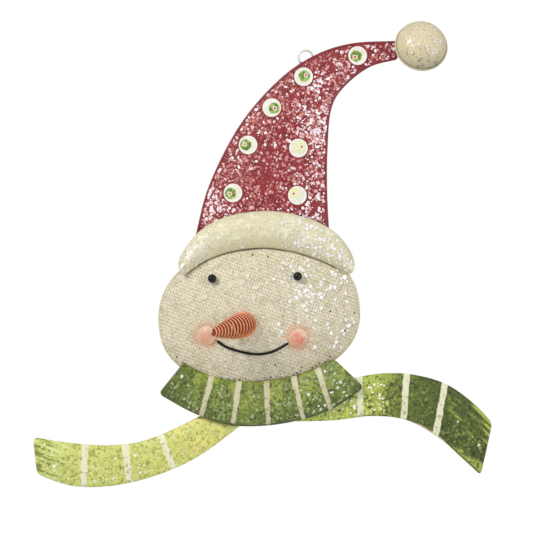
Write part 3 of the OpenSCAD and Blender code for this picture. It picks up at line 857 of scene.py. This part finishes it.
def strip_plate(name, strip, length, corners, relief, **layers):
    """Plate of sheet metal on a strip, its front raised by `relief` and rounded back at the edges. Each
    layer is made from where its points are: x, z, the strip's v and u, and the distances along and up."""
    v, u, along, up = strip_grid(strip, length, *corners)
    width = breadth(strip[0], strip[1], v[:, 0])[:, None]
    to_edge = np.minimum(np.minimum(up, width - up), np.minimum(along, length - along))
    rounding = 0.3 * (1 - ease(to_edge, 0, 0.7))
    front = on_strip(strip, v, u)
    back = front + [0, SHEET_THICK - 0.02, 0]
    front[..., 1] += rounding - relief(front[..., 0], front[..., 2]) * ease(to_edge, 0, 1.5)
    at = SimpleNamespace(x=front[..., 0], z=front[..., 2], v=v, u=u, along=along, up=up)
    return plate(name, front, back, **{layer: make(at) for layer, make in layers.items()})


CUFF = (
    [[-45.6, 21.5], [-42, 30], [-32, 41.5], [-16.5, 49], [5, 51.6], [25, 48],
     [40, 40.8], [49, 30.5], [52.4, 21.5]],
    CUFF_EDGE, [-3.6, -4.4, -5.6, -4.6, -3.8], [-3.6, -3.1, -3.6, -4.1, -3.8], 5.0)
CUFF_LENGTH = 115.0


def brushed_lumps(x, z):
    """Thick paint: three sizes of soft lump, the smallest lowest."""
    return 0.22 * mottle(x, z, 3.4, 41) + 0.14 * mottle(x, z, 1.5, 42) + 0.12 * mottle(x, z, 0.8, 43)


cuff = strip_plate(
    "hat_cuff_skin", CUFF, CUFF_LENGTH, (3.2, 3.2), brushed_lumps,
    # Pale patches of paint, fewer towards the lower edge, and painted light towards the left end, where the
    # key light falls.
    worn=lambda at: np.clip(0.6 * ease(-at.x, 18, 38) + ease(
        mottle(at.x, at.z, 2.3, 44) - 0.25 * ease(at.u, 0.5, 1), 0.55, 0.95), 0, 1),
    # Painted shade: darker along the cuff's lower edge.
    low=lambda at: ease(at.u, 0.7, 1.0) * 0.5)
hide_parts("hat_cuff")
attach(cuff, "ornament")
cuff.data.materials.append(paint(
    "cream_cuff_paint", rgb(190, 182, 144), rgb(220, 214, 178), rgb(240, 236, 210), 0.7, 0.5,
    [("low", rgb(214, 206, 168), 0.6), ("worn", rgb(240, 236, 212), 0.6)],
    relief=0.6, coat=0.15, clouds=0.12))

# ---------------------------------------------------------------- pompom
# The pompom is a deep pressed dome on a flat disc, both stippled with cream paint, soldered to the
# end of the hat so that its top leans back.

POMPOM_DIAMETER = 29.4
POMPOM_DOME = 27.6
POMPOM_RISE = 10.0
POMPOM_LEAN = math.radians(20)
POMPOM_YAW = math.radians(6)
DOME_SHIFT = 0.4
disc_low, disc_high = (np.array(corner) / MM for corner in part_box("pompom_disc"))
pompom_at = (disc_low + disc_high) / 2 - DATUM
facing = np.array([math.sin(POMPOM_YAW), -math.cos(POMPOM_YAW), 0.0])
straight_up = np.array([0.0, 0.0, 1.0])
pompom_up = -math.sin(POMPOM_LEAN) * facing + math.cos(POMPOM_LEAN) * straight_up
pompom_out = math.cos(POMPOM_LEAN) * facing + math.sin(POMPOM_LEAN) * straight_up

share = np.linspace(0.02, 0.985, 20)
radius = POMPOM_DIAMETER / 2
flat_back = np.stack([share * radius, np.full_like(share, -SHEET_THICK / 2)], -1)
disc_profile = np.concatenate([
    flat_back, [[radius, -0.15], [radius, 0.15]], flat_back[::-1] * [1, -1]])
arc = np.linspace(0.012, 0.5, 70) * np.pi
dome = np.stack([POMPOM_DOME / 2 * np.sin(arc), POMPOM_RISE * np.cos(arc)], -1)
hollow = np.stack([(POMPOM_DOME / 2 - SHEET_THICK) * np.sin(arc[::7]),
                   (POMPOM_RISE - SHEET_THICK) * np.cos(arc[::7])], -1)
dome_foot = pompom_at + DOME_SHIFT * pompom_up + (SHEET_THICK / 2 + GLUE) * pompom_out
disc_rings = turned(disc_profile, pompom_at, pompom_out, 120)
dome_rings = turned(np.concatenate([hollow, dome[::-1]]), dome_foot, pompom_out, 180)


def crease_share(rings, node):
    """1 on the dome's foot and on the disc just outside it, the crease between them that takes painted shade.
    """
    off = rings - pompom_at
    radius = np.linalg.norm(off - (off @ pompom_out)[..., None] * pompom_out, axis=-1)
    if node == "pompom_dome":
        return ease(radius, POMPOM_DOME / 2 - 0.35, POMPOM_DOME / 2 - 0.1)
    return 1 - ease(radius, POMPOM_DOME / 2 + 0.1, POMPOM_DOME / 2 + 0.4)


# The low colour is painted shade on the pompom's lower side, the pits colour is painted shade in the
# stipple's pits on its lower half, and the crease colour is painted shade round the dome's foot.
pompom_paint = paint(
    "cream_pompom_paint", rgb(192, 178, 142), rgb(220, 206, 170), rgb(236, 224, 194), 0.9, 0.42,
    [("low", rgb(182, 176, 148), 0.5), ("pits", rgb(146, 138, 108), 0.2),
     ("crease", rgb(120, 112, 84), 0.2)],
    relief=0.5, coat=0.3, clouds=0.15)
for name, node, rings in (("pompom_back_disc", "pompom_disc", disc_rings),
                          ("pompom_shell", "pompom_dome", dome_rings)):
    x, z = rings[..., 0], rings[..., 2]
    stipple = 0.35 * mottle(x, z, 1.6, 51) + 0.2 * mottle(x, z, 0.8, 52)
    outward = rings - pompom_at - 0.5 * POMPOM_RISE * pompom_out
    outward /= np.linalg.norm(outward, axis=-1)[..., None]
    rings = rings + (stipple[..., None] - 0.45) * 0.5 * outward
    piece = loft(name, rings, low=ease(pompom_at[2] - z, -2, 12) * 0.8,
                 pits=ease(mottle(x, z, 1.2, 53), 0.62, 0.9) * ease(pompom_at[2] - z, -6, 8),
                 crease=crease_share(rings, node) * 0.7)
    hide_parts(node)
    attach(piece, "ornament")
    piece.data.materials.append(pompom_paint)

# ---------------------------------------------------------------- scarf
# The collar is a crowned strip of sheet in front of the chin, and the two tails are longer strips
# soldered behind it. All are brushed in mottled greens; the stripes and the fringe are hand painted.

COLLAR = (
    [[-42.3, -31.7], [-29, -38.1], [-15, -41.4], [0, -41.9], [14, -40.0], [28, -36.1], [40.6, -29.4]],
    [[-56, -48.8], [-37, -59.2], [-18, -65.8], [2, -66.4], [22, -63.2], [40, -56.8], [57.3, -45.2]],
    [-3.4, -3.2, -2.6, -2.8, -3.2], [-2.6, -2.4, -2.2, -2.4, -2.6], 3.6)
LEFT_TAIL = (
    [[-124.8, -72.6], [-104, -75.9], [-84.5, -77.2], [-65, -75], [-44, -66.6], [-22, -55]],
    [[-122.6, -93], [-104.5, -99.3], [-84, -99.8], [-60, -94.8], [-34, -83.4], [-5, -62]],
    [-1.5, 1, 2.4, 2.8, 2.4, 1.6], [-1.5, 1, 2.4, 2.8, 2.4, 1.6], 1.8)
RIGHT_TAIL = (
    [[30, -47], [48, -41.2], [66, -37.8], [84, -38.3], [102, -43.4], [117, -53.8], [127.6, -64.8]],
    [[20, -64.2], [41, -63.5], [62, -61.2], [81, -63.6], [98, -72.9], [109.6, -83.0], [121.2, -93.7]],
    [1.6, 2.4, 3, 2.6, 1.4, 0.2, -1.5], [1.6, 2.4, 3, 2.6, 1.4, 0.2, -1.5], 1.8)
COLLAR_LENGTH = 100.0
TAIL_LENGTHS = {"left": 122.0, "right": 112.0}


def stripes(lines, top_width, low_width, seed):
    """Layer of hand-painted stripes, each a wobbly line of shrinking width with rounded ends."""
    def layer(at):
        shown = np.zeros_like(at.x)
        wobble = 0.55 * mottle(at.x, at.z, 3.0, seed) + 0.35 * mottle(at.x, at.z, 1.0, seed + 1) - 0.45
        for (x0, z0), (x1, z1) in lines:
            run = np.array([x1 - x0, z1 - z0])
            length = np.linalg.norm(run)
            t = ((at.x - x0) * run[0] + (at.z - z0) * run[1]) / length ** 2
            off = ((at.x - x0) * run[1] - (at.z - z0) * run[0]) / length + wobble
            past = np.maximum(0, np.maximum(-t, t - 1)) * length
            half = (top_width + (low_width - top_width) * np.clip(t, 0, 1)) / 2
            shown = np.maximum(shown, 1 - ease(np.hypot(off, past), half - 0.2, half + 0.2))
        return shown
    return layer


def pebbled(x, z):
    """Height of paint over sprinkled grit: the sum of soft lumps of three sizes."""
    return 0.14 * mottle(x, z, 2.2, 61) + 0.2 * mottle(x, z, 1.2, 62) + 0.1 * mottle(x, z, 0.7, 63)


def crevice(at):
    """Layer of painted shade between the lumps of grit: 1 where the two finer sizes are low."""
    return 1 - ease(0.6 * mottle(at.x, at.z, 1.2, 62) + 0.4 * mottle(at.x, at.z, 0.7, 63), 0.22, 0.5)


collar_stripes = stripes(
    [[(-26.4, -39.0), (-32.2, -60.6)], [(-11.4, -41.5), (-14.7, -63.8)], [(3.4, -41.1), (4.4, -64.6)],
     [(18.3, -39.0), (23.6, -62)], [(31.3, -34.6), (38.7, -56.4)]], 3.2, 2.4, 64)
left_stripes = stripes(
    [[(-96.2, -76.9), (-97.2, -99.9)], [(-74.2, -76.6), (-71.7, -97.4)], [(-54.6, -71.9), (-47.5, -89.8)]],
    3.5, 3.4, 71)
right_stripes = stripes(
    [[(54.5, -39.5), (55.3, -60.9)], [(80.7, -38.1), (78.9, -62)], [(101.6, -43.1), (96.5, -71.6)]],
    3.5, 3.3, 81)


def speckled(striped):
    """Layer of the dark specks where a stripe's paint has missed the hollows of the grit."""
    def layer(at):
        missed = 0.5 * crevice(at) + 0.5 * mottle(at.x, at.z, 0.8, 67) + 0.25 * at.u
        return striped(at) * ease(missed, 0.62, 0.95) * 0.8
    return layer


cream_stripe = rgb(208, 202, 168)
pale_stripe = rgb(232, 230, 200)
worn_stripe = rgb(150, 140, 92)
collar = strip_plate(
    "scarf_collar_skin", COLLAR, COLLAR_LENGTH, (2.6, 2.6), pebbled, crevice=crevice,
    stripe=collar_stripes,
    # Painted light towards the upper edge, and painted shade at the lower edge and the left end, as the
    # crowned sheet turns from the light.
    bright=lambda at: ease(mottle(at.x, at.z, 5, 65) + 0.35 * (0.5 - at.u), 0.5, 0.85),
    deep=lambda at: np.maximum(
        ease(at.u + 0.5 * mottle(at.x, at.z, 6, 66), 0.85, 1.4), ease(-at.x, 30, 52)),
    speckle=speckled(collar_stripes),
    # Painted shadow: a dark band along the collar's lower edge.
    under_edge=lambda at: (1 - ease(at.up, 0.3, 1.1)) * ease(at.v, 0.1, 0.25) * 0.8)
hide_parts("scarf_collar")
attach(collar, "ornament")
collar.data.materials.append(paint(
    "collar_green_paint", rgb(72, 86, 22), rgb(112, 128, 46), rgb(156, 170, 80), 0.8, 0.42,
    [("bright", rgb(158, 174, 70), 0.7), ("deep", rgb(76, 90, 34), 0.5), ("crevice", rgb(40, 50, 12), 0.6),
     ("under_edge", rgb(30, 38, 12), 0.2), ("stripe", cream_stripe, 0.12), ("speckle", worn_stripe, 0.3)],
    relief=0.5, coat=0.2, clouds=0.15))


def fringe(from_start, length, reach, seed, threshold, broad=1.05):
    """Layer of brush streaks that run in from a tail's free end: a field drawn out along the tail, where
    it is above the threshold, each row fading at a length of its own."""
    def layer(at):
        distance = at.along if from_start else length - at.along
        streak = mottle(distance * 0.09, at.up, broad, seed)
        stop = reach * (0.45 + 0.8 * mottle(np.zeros_like(at.up), at.up, 1.6, seed + 1))
        return ease(streak, threshold, threshold + 0.16) * (1 - ease(distance, stop * 0.7, stop))
    return layer


left_tail = strip_plate(
    "scarf_left_skin", LEFT_TAIL, TAIL_LENGTHS["left"], (3.0, 0), pebbled, crevice=crevice,
    stripe=left_stripes,
    # Painted light: lighter and yellower towards the collar end.
    bright=lambda at: ease(at.along, 62, 108) * (0.5 + 0.7 * mottle(at.x, at.z, 4, 72)),
    light_fringe=fringe(True, TAIL_LENGTHS["left"], 22, 73, 0.55),
    dark_fringe=fringe(True, TAIL_LENGTHS["left"], 22, 75, 0.56, 0.8),
    speckle=speckled(left_stripes))
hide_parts("scarf_tail_left")
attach(left_tail, "ornament")
left_tail.data.materials.append(paint(
    "lime_scarf_paint", rgb(166, 176, 68), rgb(204, 212, 116), rgb(230, 234, 154), 0.8, 0.42,
    [("bright", rgb(232, 222, 126), 0.5), ("crevice", rgb(140, 146, 50), 0.6),
     ("light_fringe", rgb(222, 230, 150), 0.3), ("dark_fringe", rgb(112, 128, 48), 0.4),
     ("stripe", pale_stripe, 0.12), ("speckle", worn_stripe, 0.3)], relief=0.5, coat=0.2, clouds=0.15))

right_tail = strip_plate(
    "scarf_right_skin", RIGHT_TAIL, TAIL_LENGTHS["right"], (0, 2.8), pebbled, crevice=crevice,
    stripe=right_stripes,
    # Painted light near the collar, painted shade towards the far end, and a painted highlight along the
    # lower edge of the far part.
    bright=lambda at: (1 - ease(at.along, 26, 62)) * (0.75 + 0.5 * mottle(at.x, at.z, 4, 82)),
    deep=lambda at: ease(at.along, 40, 85) * (0.6 + 0.8 * mottle(at.x, at.z, 5, 83)),
    light_fringe=fringe(False, TAIL_LENGTHS["right"], 32, 88, 0.56, 1.6),
    speckle=speckled(right_stripes),
    edge_light=lambda at: ease(at.along, 40, 70) * (1 - ease(at.up, 0.25, 1.0)) * 0.6,
    bare_edge=lambda at: ease(at.x, 84, 88) * (1 - ease(at.x, 99, 103)) * (1 - ease(at.up, 0.5, 1.3)))
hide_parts("scarf_tail_right")
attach(right_tail, "ornament")
right_tail.data.materials.append(paint(
    "moss_scarf_paint", rgb(54, 68, 10), rgb(94, 110, 28), rgb(134, 150, 52), 0.8, 0.42,
    [("bright", rgb(192, 208, 90), 0.4), ("deep", rgb(62, 76, 14), 0.5), ("crevice", rgb(28, 36, 4), 0.5),
     ("light_fringe", rgb(170, 188, 74), 0.3), ("edge_light", rgb(158, 176, 74), 0.6),
     ("bare_edge", rgb(206, 186, 150), 0.2), ("stripe", pale_stripe, 0.12), ("speckle", worn_stripe, 0.3)],
    relief=0.5, coat=0.2, clouds=0.15))

# ---------------------------------------------------------------- ring and solder
# The hanging ring is bare bright wire, closed and soldered behind the hat's edge. Dull drops of
# solder join the other pieces from behind.

refinish("hanging_ring", gloss("bright_ring_wire", (0.72, 0.71, 0.67), 0.4, metallic=0.6))
refinish("solder_joints", gloss("dull_solder", (0.40, 0.40, 0.39), 0.55, metallic=0.9))

# ---------------------------------------------------------------- glitter
# Coarse glitter was sprinkled on the wet varnish, thickest on the hat: thin clear flakes, a
# millimetre or two across, that show a veil of the paint beneath; the light they catch is painted into them
# as white, as painted glints.

FLAKE_THICK = 0.12


def flakes(name, places, normals, widths, shine, seed):
    """Thin six-sided flakes: corners at uneven radii in the plane across each tilted normal, joined to
    a second ring of corners behind."""
    dice = np.random.default_rng(seed)
    count = len(places)
    normals = normals + dice.normal(0, 0.11, (count, 3))
    normals /= np.linalg.norm(normals, axis=1)[:, None]
    side = np.cross(normals, dice.normal(size=(count, 3)))
    side /= np.linalg.norm(side, axis=1)[:, None]
    other = np.cross(normals, side)
    angle = np.arange(6) * np.pi / 3 + dice.uniform(-0.22, 0.22, (count, 6))
    radius = widths[:, None] / 2 * dice.uniform(0.78, 1.1, (count, 6))
    narrow = dice.uniform(0.65, 1.0, count)[:, None, None]
    rim = (side[:, None] * (radius * np.cos(angle))[..., None]
           + other[:, None] * (radius * np.sin(angle))[..., None] * narrow)
    front = places[:, None] + rim + normals[:, None] * FLAKE_THICK / 2
    points = np.concatenate([front, front - normals[:, None] * FLAKE_THICK], 1).reshape(-1, 3)
    k = np.arange(6)
    faces = np.concatenate([
        [[0, 1, 2, 3], [0, 3, 4, 5], [9, 8, 7, 6], [11, 10, 9, 6]],
        np.stack([(k + 1) % 6, k, k + 6, (k + 1) % 6 + 6], -1)])
    faces = (faces + 12 * np.arange(count)[:, None, None]).reshape(-1, 4)
    piece = new_piece(name, points, faces, {"shine": np.repeat(shine, 12)})
    piece.data.polygons.foreach_set("use_smooth", np.zeros(len(piece.data.polygons), bool))
    return piece


def glitter(name, tones):
    """Flake finish: the colour of each flake comes from its tone and painted glint, through stops (position,
    colour).
    """
    material, nodes, links, shader = finish(
        name, {"Roughness": 0.32, "Coat Weight": 0.6, "Coat Roughness": 0.12})
    shine = nodes.new("ShaderNodeAttribute")
    shine.attribute_name = "shine"
    ramp = nodes.new("ShaderNodeValToRGB")
    stops = ramp.color_ramp.elements
    stops[0].position, stops[0].color = tones[0][0], (*tones[0][1], 1)
    stops[1].position, stops[1].color = tones[-1][0], (*tones[-1][1], 1)
    for position, colour in tones[1:-1]:
        stops.new(position).color = (*colour, 1)
    links.new(shine.outputs["Fac"], ramp.inputs[0])
    links.new(ramp.outputs[0], shader.inputs["Base Color"])
    return material


def surface(at, a, b, step):
    """Points of a surface at(a, b) and the unit directions straight out of it, towards -y."""
    points = at(a, b)
    normals = np.cross(at(a + step, b) - at(a - step, b), at(a, b + step) - at(a, b - step))
    normals /= np.linalg.norm(normals, axis=1)[:, None]
    return points, normals * -np.sign(normals[:, 1])[:, None]


def sprinkle(name, at, a, b, step, lift, widths, shine, seed, material):
    """Flakes lying on a surface at(a, b), `lift` above it."""
    points, normals = surface(at, a, b, step)
    piece = flakes(name, points + lift * normals, normals, widths, shine, seed)
    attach(piece, "ornament")
    piece.data.materials.append(material)


dice = np.random.default_rng(91)
HAT_FLAKES = 11500
# Patches that more or fewer flakes fell on, and whose flakes are painted white as glints: x, z, spread,
# height
MORE_FLAKES = ((-22, 72, 20, 0.5), (2, 66, 12, -0.25), (40, 140, 9, -0.5), (8, 124, 11, -0.4),
               (33, 98, 12, 0.35))
LIT_FLAKES = ((34, 96, 13, 0.75), (29, 55, 12, 0.75), (-25, 54, 10, 0.55), (31, 123, 5, 0.9),
              (58, 136, 12, 0.35), (-16, 90, 12, 0.15), (2, 66, 14, -0.2))
FLAKE_SIZES = (1.1, 1.6, 2.3)
CLEAR_OF_DISC = 6.1
CLEAR_OF_EDGE = 1.6
HAT_FOOT_WIDTH = 74


def patches(x, z, table):
    """Sum of round patches, each its height times e to the minus squared distance over squared spread."""
    return sum(high * np.exp(-((x - px) ** 2 + (z - pz) ** 2) / spread ** 2)
               for px, pz, spread, high in table)


v, u = dice.uniform(0.04, 0.985, HAT_FLAKES), dice.random(HAT_FLAKES)
width = breadth(HAT_LEFT, HAT_RIGHT, v)
flat = on_hat(v, u)
thick = 0.4 + 0.55 * mottle(flat[:, 0], flat[:, 2], 9, 90) + patches(flat[:, 0], flat[:, 2], MORE_FLAKES)
wanted = dice.random(HAT_FLAKES) < width / HAT_FOOT_WIDTH * thick
wanted &= np.minimum(u, 1 - u) * width > CLEAR_OF_EDGE
v, u = v[wanted], u[wanted]
flake_at = on_hat(v, u)
disc_at = on_hat(*np.array([row[:2] for row in HAT_DISCS]).T)
to_discs = np.hypot(flake_at[:, None, 0] - disc_at[:, 0], flake_at[:, None, 2] - disc_at[:, 2])
clear = to_discs.min(1) > CLEAR_OF_DISC
v, u, flake_at = v[clear], u[clear], flake_at[clear]
# Flakes in the glint patches are painted whiter, as painted glints.
lit = np.clip(0.12 + patches(flake_at[:, 0], flake_at[:, 2], LIT_FLAKES), 0, 0.8)
caught = (dice.random(len(v)) < 0.8 * lit) * dice.uniform(0.3, 1.0, len(v))
shine = np.clip(0.8 * dice.beta(1.5, 1.9, len(v)) * (0.85 + 0.3 * lit) + 0.7 * caught, 0, 1)
hat_flake_widths = dice.uniform(0.8, 1.0, len(v)) * dice.choice(FLAKE_SIZES, len(v), p=[0.35, 0.4, 0.25])
rose_flakes = glitter("rose_flakes", [
    (0.0, rgb(112, 18, 28)), (0.2, rgb(162, 66, 68)), (0.42, rgb(208, 132, 124)),
    (0.62, rgb(236, 190, 194)), (0.84, rgb(255, 252, 255))])
on_screen = MESH_THICK / 2 + WEAVE_RISE
sprinkle("hat_glitter", on_hat, v, u, 0.01, on_screen, hat_flake_widths, shine, 92, rose_flakes)


def clustered(count, clusters, seed):
    """Random places: each about one of the clusters (x, z, spread, share of the flakes)."""
    dice = np.random.default_rng(seed)
    table = np.array(clusters)
    pick = table[dice.choice(len(table), count, p=table[:, 3] / table[:, 3].sum())]
    x = pick[:, 0] + pick[:, 2] * dice.normal(size=count)
    return x, pick[:, 1] + pick[:, 2] * dice.normal(size=count)


pale_flakes = glitter("pale_flakes", [
    (0.0, rgb(214, 206, 180)), (0.5, rgb(232, 228, 216)), (0.8, rgb(250, 250, 255))])
FACE_CLUSTERS = ((19, 19, 5, 2.2), (24, 4, 5, 2.6), (32, 9, 6, 1.6), (47, 13, 4, 1.6), (49, -12, 4, 1.5),
                 (45, -23, 4, 1), (34, -6, 9, 1.2), (8, 8, 12, 1), (-20, 10, 14, 0.9), (2, -30, 12, 0.6),
                 (0, 28, 18, 0.8))
FACE_FLAKES = 230
x, z = clustered(FACE_FLAKES, FACE_CLUSTERS, 93)
kept = (face_share(x, z) < 0.95) & (z < 27) & (np.hypot(x - NOSE_AT[0] + 6, z - NOSE_AT[1]) > 13)
x, z = x[kept], z[kept]
sprinkle("face_glitter", on_face, x, z, 0.3, on_screen, dice.uniform(1.3, 2.7, len(x)),
         np.clip(dice.beta(2, 1.4, len(x)) * ease(x, -60, 30), 0, 1), 94, pale_flakes)

v = np.concatenate([dice.normal(0.655, 0.05, 80), dice.normal(0.78, 0.08, 60), dice.normal(0.14, 0.08, 50),
                    dice.uniform(0.04, 0.96, 40)])
u = np.concatenate([dice.beta(1.4, 1.4, 80), dice.beta(2.2, 1.4, 60), dice.random(50), dice.random(40)])
v, u = np.clip(v, 0.03, 0.97), 0.06 + 0.88 * u
sprinkle("cuff_glitter", partial(on_strip, CUFF), v, u, 0.01, 0.45, dice.uniform(1.3, 2.7, len(v)),
         np.clip(dice.beta(2, 1.5, len(v)) * (0.55 + 0.45 * ease(v, 0.4, 0.7)), 0, 1),
         95, pale_flakes)


def on_pompom(turn, share):
    """Point on the dome, round the turn at a share of its radius, as high as an ellipse is there."""
    side = np.cross(pompom_out, [0.0, 0.0, 1.0])
    side /= np.linalg.norm(side)
    away = np.cos(turn)[:, None] * side + np.sin(turn)[:, None] * np.cross(side, pompom_out)
    high = POMPOM_RISE * np.sqrt(1 - share ** 2)
    return dome_foot + POMPOM_DOME / 2 * share[:, None] * away + high[:, None] * pompom_out


POMPOM_FLAKES = 44
pompom_dice = np.random.default_rng(100)
turn = pompom_dice.uniform(0, 2 * np.pi, POMPOM_FLAKES)
share = 0.08 + 0.7 * pompom_dice.beta(2, 1.3, POMPOM_FLAKES)
sprinkle("pompom_glitter", on_pompom, turn, share, 0.01, 0.12, pompom_dice.uniform(1.0, 2.0, POMPOM_FLAKES),
         pompom_dice.beta(1.4, 1.6, POMPOM_FLAKES), 101, pale_flakes)

lime_flakes = glitter("lime_flakes", [
    (0.0, rgb(190, 200, 106)), (0.35, rgb(206, 212, 130)), (0.65, rgb(230, 224, 170)),
    (0.9, rgb(248, 250, 236))])
green_flakes = glitter("green_flakes", [
    (0.0, rgb(98, 116, 46)), (0.3, rgb(142, 156, 92)), (0.6, rgb(184, 194, 152)),
    (0.9, rgb(246, 250, 246))])
moss_flakes = glitter("moss_flakes", [
    (0.0, rgb(62, 76, 14)), (0.35, rgb(104, 118, 38)), (0.65, rgb(146, 158, 76)),
    (0.9, rgb(220, 226, 200))])
# Each strip's flakes: their name, the strip and its stripes, how many, from and to where along it,
# where most of them are painted white as glints and what share is, then their finish, slot and seed.
FLAKED_STRIPS = (
    ("left_tail_glitter", LEFT_TAIL, left_stripes, 420, (0.04, 0.95), 0.5, 0.1,
     lime_flakes, "light_scarf_paint", 96),
    ("collar_glitter", COLLAR, collar_stripes, 440, (0.02, 0.98), 0.82, 0.3,
     green_flakes, "collar_paint", 97),
    ("near_tail_glitter", RIGHT_TAIL, right_stripes, 120, (0.12, 0.4), 0.26, 0.5,
     lime_flakes, "dark_scarf_paint", 98),
    ("far_tail_glitter", RIGHT_TAIL, right_stripes, 420, (0.38, 0.97), 0.2, 0.2,
     moss_flakes, "dark_scarf_paint", 99))
for row in FLAKED_STRIPS:
    name, strip, striped, count, (first, last), bright_at, brightest, flake_finish, slot, seed = row
    v, u = dice.uniform(first, last, count), 0.06 + 0.88 * dice.beta(1.8, 1.2, count)
    lying = on_strip(strip, v, u)
    bare = sum(striped(SimpleNamespace(x=lying[:, 0] + step, z=lying[:, 2])) for step in (-0.9, 0, 0.9)) < 0.3
    v, u = v[bare], u[bare]
    # Some flakes, most of them near one place along the strip, are painted white as glints.
    sparkle = dice.random(len(v)) < 0.02
    sparkle |= (np.abs(v - bright_at) < 0.12) & (dice.random(len(v)) < brightest)
    sprinkle(name, partial(on_strip, strip), v, u, 0.01, 0.32, dice.choice(FLAKE_SIZES, len(v)),
             np.clip(0.6 * dice.beta(1.6, 2.2, len(v)) + 0.5 * sparkle, 0, 1), seed, flake_finish)
